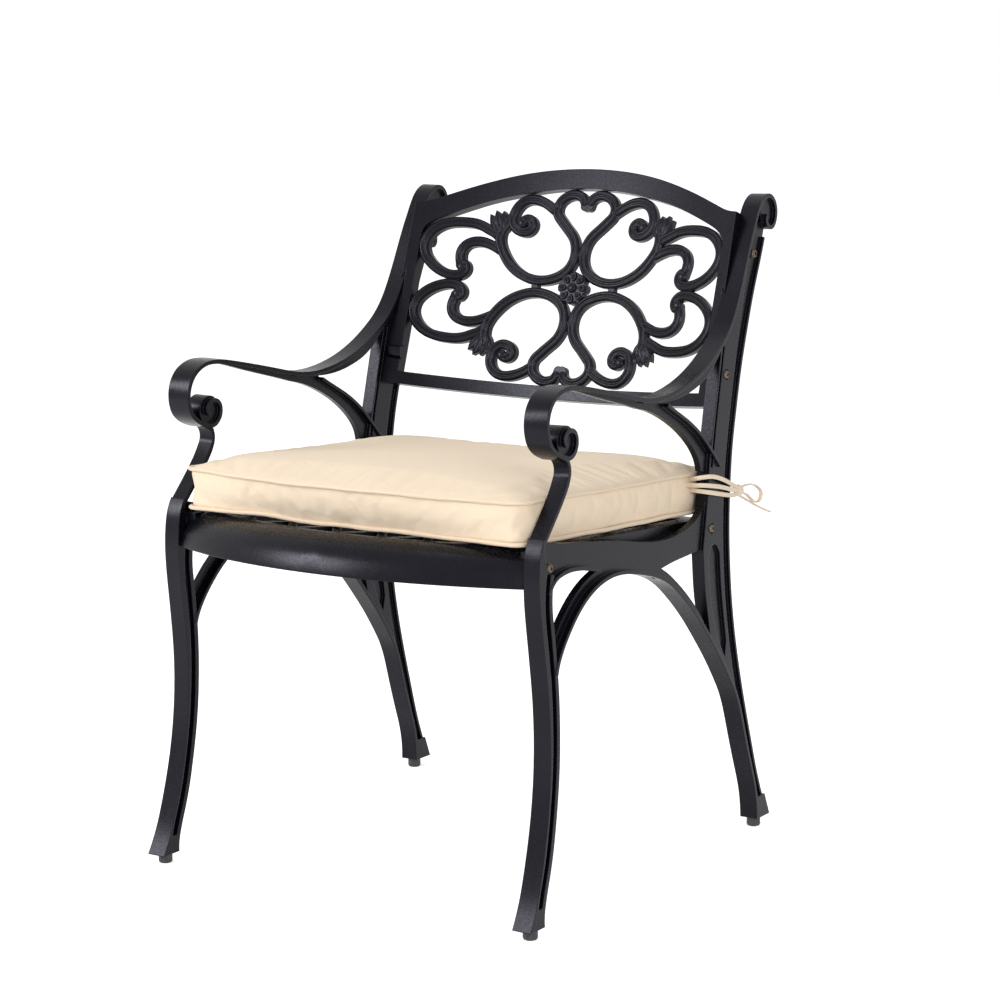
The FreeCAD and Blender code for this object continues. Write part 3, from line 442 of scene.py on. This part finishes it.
# %% Ties on both sides
strand_strap, loose_strap = (0.0056, 0.0026), (0.0052, 0.0022)
for side, sign in (("left", 1), ("right", -1)):
    flip = np.array([sign, 1, 1])
    ball, lat, lon = tie_knot(knot_place + tie_shift, knot_radius)
    knot_faces = grid_faces(*ball.shape[:2], round_columns=True)
    knot = make_piece(side + "_tie_knot_sewn", ball * flip, knot_faces, tie_cloth)
    cloth_uv(knot, (lon * 0.006 + 0 * lat).ravel(), (lat * 0.008 + 0 * lon).ravel())
    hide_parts(side + "_tie_knot")
    for name, route in tie_routes.items():
        line = tie_line(name, (np.array(route) + tie_shift) * flip)
        strand = name.startswith("strand")
        way = np.array([0, 0, 1.0]) if strand else np.array([1.0, 0, 0])
        width, thickness = strand_strap if strand else loose_strap
        points = flat_tube(line, width, thickness, way)
        piece_name = f"{side}_tie_{name}_sewn"
        piece = make_piece(piece_name, points, tube_faces(*points.shape[:2]), tie_cloth)
        run = np.r_[0, np.cumsum(np.linalg.norm(np.diff(line, axis=0), axis=1))]
        around = np.linspace(0, 2 * width, points.shape[1], endpoint=False)
        cloth_uv(piece, np.tile(around, len(line)), np.repeat(run, points.shape[1]))
        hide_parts(side + "_tie_" + ("strands" if strand else name))
        print(piece.name, "length", round(float(run[-1]) * 1000, 1), "mm")

# %% [markdown]
# The frames, the back and the seat keep the CAD's shape. The CAD's triangles lie loose, so a copy is
# merged at its shared corners and shaded smooth across every turn of under 30 degrees: the S curves
# then run as one bright line, and the cast edges stay crisp. Normals weighted by area keep the flat
# faces flat beside them. The copy stands for its node.

# %% Castings
sharp_turn = math.radians(30)
same_point, no_length = 1e-5, 1e-6


def smooth_casting(node_name):
    """A merged copy of a casting: smooth across gentle turns, sharp over 30 degrees."""
    source = nodes[node_name]
    mesh = source.data.copy()
    mesh.name = node_name + "_cast"
    build = bmesh.new()
    build.from_mesh(mesh)
    bmesh.ops.remove_doubles(build, verts=build.verts, dist=same_point)
    bmesh.ops.dissolve_degenerate(build, edges=build.edges, dist=no_length)
    build.to_mesh(mesh)
    build.free()
    if "custom_normal" in mesh.attributes:
        mesh.attributes.remove(mesh.attributes["custom_normal"])
    mesh.materials.clear()
    mesh.materials.append(paint)
    mesh.shade_smooth()
    mesh.set_sharp_from_angle(angle=sharp_turn)
    piece = bpy.data.objects.new(node_name + "_cast", mesh)
    scene.collection.objects.link(piece)
    weighted = piece.modifiers.new("weighted", "WEIGHTED_NORMAL")
    weighted.keep_sharp = True
    weighted.weight = 50
    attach(piece, "root")
    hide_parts(node_name)
    return len(mesh.polygons)


for node_name in ("left_side_frame", "right_side_frame", "back_panel", "seat_panel"):
    print(node_name, "faces", smooth_casting(node_name))

# %% [markdown]
# The bolts, washers and glides are right as the CAD has them. They could be made again with bevels,
# but they are too small for it to show, so they keep their meshes and only get a better material.

# %% Finishes of the carried-over nodes
for node_name, node in nodes.items():
    finish = paint
    if "bolts" in node_name or "washers" in node_name:
        finish = steel
    elif "glides" in node_name:
        finish = nylon
    for place in node.material_slots:
        place.material = finish
print("finishes given")

# %% [markdown]
# The back is a fretwork of scrolls. On the real casting every strand is carved: two rounded beads
# with a hollow between them, ending in a round boss where the scroll curls in. It could be sculpted,
# or raised by a height map, which would blur the beads. The CAD has the strands' outlines, so the
# carving is a thin relief laid on their front faces. A point of it is found by its place on the
# strand's centre line and its share of the half width. The lines are in millimetres from the middle
# of the rosette, across and up, and the whole back is bent on one upright cylinder, then leant back.

# %% Fretwork lines
back_radius = 0.800
back_lean = math.radians(17.8)
back_origin = np.array([0, 0.52584 - foot_to_frame, 0.687])
heart_loop = [(3, 111), (9, 122), (20.7, 126), (31, 123.6), (39, 118), (43.6, 109), (43, 100),
              (36, 91), (25.7, 80.7), (15.7, 71), (9.3, 60), (6.8, 47), (9.5, 32), (18, 20),
              (32.9, 12), (50, 8.2), (68, 9.5), (88, 17.5), (102.9, 28.6), (114, 43),
              (120.7, 56.4), (121.5, 68), (117, 82), (113, 88)]
upper_scroll = [(44, 101), (53.6, 107.5), (64, 113), (75.7, 116.4), (87, 116.4), (97, 112),
                (104, 103.6), (107.4, 93.6), (106.4, 83.6), (99, 75), (88, 72), (79.5, 75.5),
                (77, 83.5), (81.5, 89.3), (88.6, 88.6), (92.5, 84)]
lower_scroll = [(44, -107), (53, -113.6), (62, -118.3), (73, -121.8), (84.3, -123), (94, -121),
                (102, -114.5), (106.6, -105), (106.4, -95), (102, -86.5), (94, -81.5), (85, -82),
                (78, -87.5), (78, -95), (84, -98.5), (90.5, -95.5)]
side_scroll = [(122, 62), (129, 67), (138, 71), (148, 75.7), (159, 78.6), (173.6, 79.3),
               (188, 78.3), (200.7, 75), (212, 69), (220.7, 60), (225.6, 49), (225, 37),
               (218.5, 25.5), (207.5, 15.5), (194, 8.8), (180, 6), (169, 8.5), (163.4, 15),
               (165.5, 21.5), (171, 20.5)]
side_branch = [(116, 44), (123, 47.5), (130.7, 50.7), (141, 53.6), (152, 54.5), (161.5, 52.5),
               (169, 47.5), (173.2, 40), (173.4, 31), (171, 22)]
strand_half = 0.00675


def bend_back(flat, rise):
    """Flat (across, up) places set on the back: across stays, the depth is the bow's circle, and rise
    stands off it towards the sitter. Then the back leans."""
    turn = np.arcsin(flat[..., 0] / back_radius)
    x = (back_radius - rise) * np.sin(turn)
    depth = back_radius - (back_radius - rise) * np.cos(turn)
    up = flat[..., 1]
    y = -depth * math.cos(back_lean) + up * math.sin(back_lean)
    z = depth * math.sin(back_lean) + up * math.cos(back_lean)
    return np.stack([x, y, z], axis=-1) + back_origin


print("fretwork lines ready")

# %% [markdown]
# Each kind of ornament is one function of two parameters: along and across, or out and round. What
# tells them apart is the profile that says how far the surface rises: two beads for a strand, a
# circle's arc for a boss, a crest round a hollow for a petal, and an arch with a sunk vein for a leaf.
# Every grid starts 0.4 mm under the CAD's face, so that no rim is seen to float.

# %% Carved strands
carved_rise, sunk = 0.0034, 0.0004
share = np.linspace(-1, 1, 13)
bead_profile = (1 - share ** 4) * (1 - 0.75 * np.exp(-(share / 0.24) ** 2))


def carved_strand(points, flip):
    """Relief on a strand: two beads and a hollow across it, round at the start and at the end."""
    line = smooth_line(np.array(points) * 0.001, 0.0022) * flip
    along = np.gradient(line, axis=0)
    along /= np.linalg.norm(along, axis=1)[:, None]
    side = np.stack([-along[:, 1], along[:, 0]], axis=1)
    run = np.r_[0, np.cumsum(np.linalg.norm(np.diff(line, axis=0), axis=1))]
    reach = np.minimum(run, run[-1] - run)
    round_off = np.sqrt(np.clip(1 - (1 - np.clip(reach / strand_half, 0, 1)) ** 2, 0.02, 1))
    across = (share * strand_half * 0.97)[None, :, None] * round_off[:, None, None]
    flat = line[:, None] + side[:, None] * across
    rise = carved_rise * bead_profile[None, :] * round_off[:, None] - sunk
    return bend_back(flat, rise)


print("strand profile rises", round(carved_rise * bead_profile.max() * 1000, 2), "mm")

# %% Bosses, petals and leaves
def dome(centre, radius, height, flip, rows=7, columns=20):
    """A round boss: height falls as a circle's arc from its middle to its rim."""
    ring = np.linspace(0.02, 1, rows)[:, None]
    turn = np.linspace(0, 2 * np.pi, columns, endpoint=False)[None, :]
    flat = np.stack([ring * np.cos(turn), ring * np.sin(turn)], axis=-1) * radius
    flat = (flat + np.array(centre)) * flip
    return bend_back(flat, height * np.sqrt(np.clip(1 - ring ** 2, 0, 1)) * np.ones_like(turn) - sunk)


petal_reach, petal_half_length, petal_half_width, petal_rise = 0.0146, 0.0068, 0.0049, 0.0046


def petal(turn, rows=9, columns=20):
    """A petal: an oval set out from the middle, its height a crest round a hollow."""
    ring = np.linspace(0.02, 1, rows)[:, None]
    round_it = np.linspace(0, 2 * np.pi, columns, endpoint=False)[None, :]
    out = petal_reach + petal_half_length * ring * np.cos(round_it)
    beside = petal_half_width * ring * np.sin(round_it) * (out / petal_reach) ** 0.6
    flat = np.stack([out * math.sin(turn) + beside * math.cos(turn),
                     out * math.cos(turn) - beside * math.sin(turn)], axis=-1)
    crest = np.sqrt(np.clip(1 - ring ** 2, 0, 1)) * (1 - 0.85 * np.exp(-(ring / 0.5) ** 2))
    return bend_back(flat, petal_rise * crest * np.ones_like(round_it) - sunk)


def carved_leaf(root, tip, width, flip):
    """A leaf: its half width swells towards a blunt tip, with a sunk vein along its middle."""
    root, tip = np.array(root) * 0.001, np.array(tip) * 0.001
    along = np.linspace(0.02, 0.99, 18)[:, None]
    axis = tip - root
    side = np.array([-axis[1], axis[0]]) / np.linalg.norm(axis)
    half = width * 0.0005 * np.sin(np.pi * along ** 1.5) ** 0.55
    flat = root + axis * along[..., None] + side * (half * share[None, :])[..., None]
    rise = carved_rise * (1 - share[None, :] ** 2) * np.sin(np.pi * along) ** 0.6
    rise = rise * (1 - 0.55 * np.exp(-(share[None, :] / 0.2) ** 2)) - sunk
    return bend_back(flat * flip, rise)


print("boss, petal and leaf ready")

# %% [markdown]
# The back is its own mirror image from side to side. The heart loops, side scrolls, branches and
# leaves are also mirrored from top to bottom, so each is carved from one set of points and flipped.
# Only the scrolls beside the hearts have one set above and another below. Mirror modifiers could do
# the same, but a flip of the points keeps all the carving in one mesh. The rosette stands on a disc
# that is 3 mm prouder than the strands, so its petals and its button stand off by as much.

# %% Carve the back
boss_radius, boss_height, button_height = 0.0072, 0.0042, 0.0048
leaf_root = (119, 64)
leaf_tips = ((139, 90, 13), (131, 97, 13), (121, 97, 12), (112, 91, 11))
branch_end = np.array([0.1685, 0.0185])
grids = []
for across in (1, -1):
    for up in (1, -1):
        flip = np.array([across, up])
        for points in (heart_loop, side_scroll, side_branch):
            grids.append((carved_strand(points, flip), False))
        scroll = upper_scroll if up == 1 else lower_scroll
        only_across = np.array([across, 1])
        grids.append((carved_strand(scroll, only_across), False))
        scroll_end = np.array(scroll[-1]) * 0.001
        grids.append((dome(scroll_end, boss_radius, boss_height, only_across), True))
        grids.append((dome(branch_end, boss_radius, boss_height, flip), True))
        for u, s, width in leaf_tips:
            grids.append((carved_leaf(leaf_root, (u, s), width, flip), False))
rosette_stand = np.array([0, -0.0029, 0.0009])
for turn in np.arange(8) * math.pi / 4:
    grids.append((petal(turn) + rosette_stand, True))
button = dome(np.zeros(2), boss_radius, button_height, np.array([1, 1]))
grids.append((button + rosette_stand, True))
points, faces, count = [], [], 0
for grid, closed in grids:
    rows, columns = grid.shape[:2]
    points.append(grid.reshape(-1, 3))
    faces += grid_faces(rows, columns, round_columns=closed, start=count).tolist()
    if closed:
        faces.append(list(range(count, count + columns)))
    count += rows * columns
relief = make_piece("fretwork_carving", np.vstack(points), faces, carving_paint_with_painted_light)
print("carving faces", len(relief.data.polygons))

# %% [markdown]
# The cushion is a box cushion: a top and a bottom panel, a boxing strip between them, and piping sewn
# into both seams. Its plan has a bowed front and round corners. The foam crowns the top, the boxing
# draws in between the seams, and the front of the bottom seam sits further back than the top one.
# A rounded box would be a quick way, but it looks like soap. Here the cushion starts as rings round
# that plan, a little slack, and is then filled as a real one is.

# %% Cushion sizes and the seat's slope
seat_slope = math.radians(3.2)
seat_origin = np.array([0, 0.020 - foot_to_frame, 0.441])
cushion_half = 0.2448
cushion_rear, cushion_corner = 0.434, 0.020
lower_front, upper_front = 0.001, -0.026
lower_bow, upper_bow = 0.003, 0.031
lower_seam, upper_seam = 0.0080, 0.0555
seam_tilt = 0.010
crown_reach, crown_rise, under_drop = 0.110, 0.0135, 0.0075
boxing_draw, crease_lift = 0.0015, 0.0028
slack_clear, seat_clear = 0.0004, 0.0006


def place_seat(points):
    """Points of the seat's own slope set in the chair."""
    x, y, z = points[..., 0], points[..., 1], points[..., 2]
    cos, sin = math.cos(seat_slope), math.sin(seat_slope)
    return np.stack([x, y * cos + z * sin, -y * sin + z * cos], axis=-1) + seat_origin


def unplace_seat(points):
    """The same points back in the seat's own slope."""
    local = points - seat_origin
    x, y, z = local[..., 0], local[..., 1], local[..., 2]
    cos, sin = math.cos(seat_slope), math.sin(seat_slope)
    return np.stack([x, y * cos - z * sin, y * sin + z * cos], axis=-1)


print("cushion", round(cushion_half * 2000, 1), "mm wide")

# %% Plan, seams and rings
def cushion_plan(inset, part, count=280):
    """The plan moved in by an inset: a front arc and four corner arcs, in even steps round. The front's
    place and bow go from the bottom seam's, at part 0, to the top seam's, at part 1."""
    half = cushion_half - inset
    corner = cushion_corner + 0.5 * inset
    front = lower_front + (upper_front - lower_front) * part + inset
    rear = cushion_rear - inset
    deep = lower_bow + (upper_bow - lower_bow) * part
    bow = (half ** 2 + deep ** 2) / (2 * deep)
    x = half - corner
    y = front + bow - math.sqrt((bow - corner) ** 2 - x ** 2)
    tilt = math.asin(x / (bow - corner))
    quarter = math.pi / 2
    arcs = ((0, front + bow, bow, -quarter - tilt, -quarter + tilt), (x, y, corner, -quarter + tilt, 0),
            (x, rear - corner, corner, 0, quarter), (-x, rear - corner, corner, quarter, 2 * quarter),
            (-x, y, corner, 2 * quarter, 3 * quarter - tilt))
    turns = np.array([np.linspace(start, end, 24) for *_, start, end in arcs])
    middle = np.array([arc[:3] for arc in arcs])[:, None, :]
    path = np.stack([middle[..., 0] + middle[..., 2] * np.cos(turns),
                     middle[..., 1] + middle[..., 2] * np.sin(turns)], axis=-1).reshape(-1, 2)
    path = np.vstack([path, path[:1]])
    run = np.r_[0, np.cumsum(np.linalg.norm(np.diff(path, axis=0), axis=1))]
    wanted = np.linspace(0, run[-1], count, endpoint=False)
    return np.c_[np.interp(wanted, run, path[:, 0]), np.interp(wanted, run, path[:, 1])]


def seam_height(plan, part):
    """Height of a seam over the seat: it climbs to the rear, and the bottom one lifts where the
    cloth creases, a hand's width from the right corner."""
    base = lower_seam + (upper_seam - lower_seam) * part
    crease = np.exp(-((plan[:, 0] + 0.125) / 0.045) ** 2) * (plan[:, 1] < 0.1)
    return base + seam_tilt * (plan[:, 1] - 0.2) + crease_lift * crease * (1 - part)


def cushion_rings():
    """Rings from the middle of the bottom, up the boxing and over the crown, on quarter circles."""
    rings = []
    for part in (1.0, 0.6, 0.3, 0.12, 0.03):
        drop = math.sqrt(1 - (1 - part) ** 2)
        rings.append((crown_reach * part, 0, -under_drop * drop))
    for part in np.linspace(0, 1, 9):
        rings.append((boxing_draw * math.sin(math.pi * part), part, 0))
    for part in (0.03, 0.12, 0.3, 0.6, 1.0):
        rise = math.sqrt(1 - (1 - part) ** 2)
        rings.append((crown_reach * part, 1, crown_rise * rise))
    grid = []
    for inset, part, lift in rings:
        plan = cushion_plan(inset, part)
        grid.append(np.c_[plan, np.maximum(seam_height(plan, part) + lift, slack_clear)])
    return np.array(grid)


rings = cushion_rings()
print("rings", rings.shape)

# %% [markdown]
# Foam pushes the cover out everywhere but at the seams. Proportional editing could fake that. A cloth
# simulation with inner pressure finds the swell by itself, with the points near the piping held, and
# also those that lie on the seat. A remesh first gives it even, nearly square faces, because cloth
# bends badly along narrow ones. Twenty frames are enough.

# %% Helpers for the filling
def apply_modifiers(piece):
    """The piece's mesh as its modifiers leave it, with no modifier left."""
    shaped = piece.evaluated_get(bpy.context.evaluated_depsgraph_get())
    mesh = bpy.data.meshes.new_from_object(shaped)
    old = piece.data
    piece.modifiers.clear()
    piece.data = mesh
    mesh.name = piece.name
    bpy.data.meshes.remove(old)


def seam_distance(local, part):
    """How far points of the seat's slope lie from the bottom seam, part 0, or the top one, part 1."""
    plan = cushion_plan(0, part, 700)
    seam = np.c_[plan, seam_height(plan, part)]
    near = np.full(len(local), 9.0)
    for rows in np.array_split(np.arange(len(local)), 40):
        near[rows] = np.linalg.norm(local[rows, None] - seam[None], axis=2).min(axis=1)
    return near


print("filling helpers ready")

# %% Sew and fill the cushion
voxel = 0.005
seam_hold, seat_hold = 0.007, 0.004
fill_frames = 20


def filled_cushion():
    """The rings as a closed mesh, remeshed evenly, filled by cloth pressure, held at the seams."""
    rows, columns = rings.shape[:2]
    faces = grid_faces(rows, columns, round_columns=True).tolist()
    faces += [list(range(columns)), list(range((rows - 1) * columns, rows * columns))]
    piece = make_piece("cushion_cover", place_seat(rings), faces, cover)
    remesh = piece.modifiers.new("remesh", "REMESH")
    remesh.mode = "VOXEL"
    remesh.voxel_size = voxel
    apply_modifiers(piece)
    before = read_rows(piece.data)
    local = unplace_seat(before)
    at_seam = np.minimum(seam_distance(local, 1), seam_distance(local, 0))
    under = np.clip((seat_hold - local[:, 2]) / seat_hold, 0, 1)
    hold = np.maximum(np.clip(1.25 - at_seam / seam_hold, 0, 1), under)
    group = piece.vertex_groups.new(name="held")
    for step in np.unique(hold.round(1)):
        group.add(np.nonzero(hold.round(1) == step)[0].tolist(), float(step), "REPLACE")
    cloth = piece.modifiers.new("cloth", "CLOTH")
    cloth.settings.quality = 6
    cloth.settings.mass = 0.3
    cloth.settings.tension_stiffness = 12
    cloth.settings.compression_stiffness = 4
    cloth.settings.bending_stiffness = 0.4
    cloth.settings.use_pressure = True
    cloth.settings.uniform_pressure_force = 4
    cloth.settings.shrink_min = -0.015
    cloth.settings.vertex_group_mass = "held"
    cloth.settings.effector_weights.gravity = 0
    cloth.collision_settings.use_collision = False
    cloth.point_cache.frame_start, cloth.point_cache.frame_end = 1, fill_frames
    for moment in range(1, fill_frames + 1):
        scene.frame_set(moment)
    apply_modifiers(piece)
    scene.frame_set(1)
    return piece, before


cushion, slack = filled_cushion()
swell = read_rows(cushion.data) - slack
far = np.linalg.norm(swell, axis=1)
print("points", len(slack), "moved at most", round(far.max() * 1000, 1), "mm")

# %% [markdown]
# A sewn cover also has short puckers along its seams, and a few folds where it is squeezed. They could
# come from a much finer simulation, which takes far longer and falls differently each time something
# changes. A few waves along the normals are quick and stay where they are put.

# %% Cap the swell, add puckers and wrinkles
most_swell = 0.007
mean_reach = 0.26
pucker_length, pucker_rise, pucker_fade = 0.019, 0.00045, 0.010
fold_depth, wrinkle_rise = 0.0016, 0.0009


def fold(run, z, place, lean, wide, strength):
    """A fold of the boxing: a bell curve across a line that leans as it climbs."""
    return strength * np.exp(-((run - place - lean * (z - 0.03)) / wide) ** 2)


def cap_and_wrinkle(start, moved):
    """Moves are capped at 7 mm. Then the cloth near a seam rises and falls in short puckers, which
    are gone 20 mm from the seam. Folds cross the boxing, and long soft wrinkles cross the top."""
    far = np.linalg.norm(moved, axis=1)[:, None]
    points = start + moved * np.minimum(1, most_swell / np.maximum(far, 1e-9))
    local = unplace_seat(points)
    x, y, z = local.T
    turn = np.arctan2(y - 0.2, x)
    around = turn * mean_reach
    upper = seam_distance(local, 1)
    lower = seam_distance(local, 0)
    pucker = np.sin(around * 2 * np.pi / pucker_length + 1.3 * np.sin(around * 41))
    pucker *= 0.6 + 0.4 * np.sin(around * 23)
    near = np.exp(-(upper / pucker_fade) ** 2) * np.clip(upper / 0.003, 0, 1)
    near += np.exp(-(lower / pucker_fade) ** 2) * np.clip(lower / 0.003, 0, 1)
    lift = pucker_rise * pucker * near
    boxing = np.clip(np.minimum(z - lower_seam, upper_seam - z) / 0.012, 0, 1)
    boxing *= (np.hypot(x / 0.246, (y - 0.2) / 0.226) > 0.8)
    folds = fold(x, z, -0.083, 0.12, 0.006, 1.0) * (y < 0.1)
    folds += fold(x, z, 0.142, -0.3, 0.009, 0.6) * (y < 0.1)
    folds += fold(y, z, 0.09, -0.4, 0.010, 0.5)
    lift += -fold_depth * folds * boxing
    top = np.clip((z - upper_seam - 0.002) / 0.006, 0, 1)
    waves = np.sin(9 * x + 23 * y + 2 * np.sin(11 * x))
    lift += top * wrinkle_rise * waves * np.exp(-(upper / 0.13) ** 2)
    points = points + read_rows(cushion.data, "normal") * lift[:, None]
    local = unplace_seat(points)
    local[:, 2] = np.maximum(local[:, 2], seat_clear)
    return place_seat(local)


print("swell capped at", most_swell * 1000, "mm")

# %% Finish the cover
cushion.data.vertices.foreach_set("co", cap_and_wrinkle(slack, swell).ravel())
cushion.data.update()
finer = cushion.modifiers.new("finer", "SUBSURF")
finer.levels = finer.render_levels = 1
apply_modifiers(cushion)
cushion.data.shade_smooth()
local = unplace_seat(read_rows(cushion.data))
facing = np.abs(read_rows(cushion.data, "normal"))
side_on = facing[:, 2] < 0.62
sideways = facing[:, 0] > facing[:, 1]
across = np.where(side_on & sideways, local[:, 1], local[:, 0])
along = np.where(side_on, local[:, 2], local[:, 1])
cloth_uv(cushion, across, along)
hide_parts("seat_cushion")
print("cushion faces", len(cushion.data.polygons))

# %% [markdown]
# Piping is a cord wrapped in a bias strip and sewn into the seam. It runs all round at both seams, a
# little proud of the cloth. It never lies quite straight: it wanders by half a millimetre. A curve
# with a round bevel would look alike, but a grid also carries the UV map that turns the weave on the
# bias.

# %% Piping
seam_length = 1.86
proud = 0.0008


def piping(name, part, radius=0.0026):
    """A round tube on the seam's plan, wandering slightly up and out, joined end to end."""
    plan = cushion_plan(-proud, part, 420)
    turn = np.linspace(0, 2 * np.pi, len(plan), endpoint=False)
    lift = 0.0004 * np.sin(7 * turn + 1) + 0.0003 * np.sin(19 * turn)
    line = place_seat(np.c_[plan, seam_height(plan, part) + lift])
    ahead = np.roll(line, -1, axis=0) - np.roll(line, 1, axis=0)
    ahead /= np.linalg.norm(ahead, axis=1)[:, None]
    up = np.array([0, math.sin(seat_slope), math.cos(seat_slope)])
    out = np.cross(ahead, up)
    out /= np.linalg.norm(out, axis=1)[:, None]
    rise = np.cross(out, ahead)
    around = np.linspace(0, 2 * np.pi, 14, endpoint=False)
    swell = radius * (1 + 0.03 * np.sin(60 * turn))[:, None, None]
    points = line[:, None] + swell * (out[:, None] * np.cos(around)[None, :, None]
                                      + rise[:, None] * np.sin(around)[None, :, None])
    faces = grid_faces(*points.shape[:2], round_rows=True, round_columns=True)
    piece = make_piece(name, points, faces, piping_cloth)
    run = np.arange(len(plan)) * seam_length / len(plan)
    twist = (run[:, None] + around[None, :] * radius).ravel()
    cloth_uv(piece, twist, (run[:, None] - around[None, :] * radius).ravel())
    return piece


for name, part in (("piping_upper", 1), ("piping_lower", 0)):
    print(name, "faces", len(piping(name, part).data.polygons))

# %% [markdown]
# The studio is plain: a pale floor and soft light all round, with one large lamp in front on the
# sitter's right, a weaker one on the left and a faint one overhead. A white backdrop could be lit
# until it is white, but then the chair would be lit too brightly. So the lamps and the world light
# the chair at a level at which a colour looks as it is written, and only what the camera sees past
# the chair is pure white.

# %% White for the camera only
def white_to_camera(owner, seen, otherwise):
    """A strength: one value for camera, glossy and transmission rays, another for all others."""
    tree = owner.node_tree
    path = tree.nodes.new("ShaderNodeLightPath")
    total = path.outputs["Is Camera Ray"]
    for kind in ("Is Glossy Ray", "Is Transmission Ray"):
        higher = tree.nodes.new("ShaderNodeMath")
        higher.operation = "MAXIMUM"
        tree.links.new(total, higher.inputs[0])
        tree.links.new(path.outputs[kind], higher.inputs[1])
        total = higher.outputs[0]
    strength = tree.nodes.new("ShaderNodeMapRange")
    strength.inputs["To Min"].default_value = otherwise
    strength.inputs["To Max"].default_value = seen
    tree.links.new(total, strength.inputs["Value"])
    return strength.outputs["Result"]


print("camera switch ready")

# %% World and floor
world = bpy.data.worlds.new("studio")
world.use_nodes = True
scene.world = world
background = world.node_tree.nodes["Background"]
background.inputs["Color"].default_value = (1, 1, 1, 1)
world.node_tree.links.new(white_to_camera(world, 1.0, 0.55), background.inputs["Strength"])

floor_material, floor_shader = new_material("pale_floor")
floor_place = add(floor_material, "TexCoord").outputs["Object"]
floor_grain = add(floor_material, "TexNoise", {"Scale": 3, "Detail": 5}, {"Vector": floor_place})
floor_tone = ramp(floor_material, floor_grain.outputs["Fac"],
                  [(0.2, (0.92, 0.92, 0.92)), (0.8, (0.95, 0.95, 0.95))])
floor_material.node_tree.links.new(floor_tone, floor_shader.inputs["Base Color"])
floor_shader.inputs["Roughness"].default_value = 0.9
floor_shader.inputs["Emission Color"].default_value = (1, 1, 1, 1)
floor_material.node_tree.links.new(white_to_camera(floor_material, 0.6, 0.0),
                                   floor_shader.inputs["Emission Strength"])
floor_mesh = bpy.data.meshes.new("floor")
floor_half = 60
floor_mesh.from_pydata([(-floor_half, -floor_half, 0), (floor_half, -floor_half, 0),
                        (floor_half, floor_half, 0), (-floor_half, floor_half, 0)], [], [(0, 1, 2, 3)])
floor_mesh.materials.append(floor_material)
floor = bpy.data.objects.new("floor", floor_mesh)
scene.collection.objects.link(floor)
print("floor", 2 * floor_half, "m wide")

# %% Lamps
def soft_lamp(name, place, aim, size, watts):
    """A square area lamp at a place that points at an aim."""
    lamp = bpy.data.lights.new(name, "AREA")
    lamp.shape = "SQUARE"
    lamp.size = size
    lamp.energy = watts
    holder = bpy.data.objects.new(name, lamp)
    direction = Vector(aim) - Vector(place)
    turned = direction.to_track_quat("-Z", "Y").to_matrix().to_4x4()
    holder.matrix_world = Matrix.Translation(place) @ turned
    scene.collection.objects.link(holder)


soft_lamp("key", (-2.0, -2.5, 1.85), (0, 0, 0.45), 1.1, 62)
soft_lamp("fill", (2.5, -2.0, 1.4), (0, 0, 0.4), 1.2, 36)
soft_lamp("top", (0.0, 0.4, 2.9), (0, 0, 0.45), 1.4, 14)
print("studio lit")
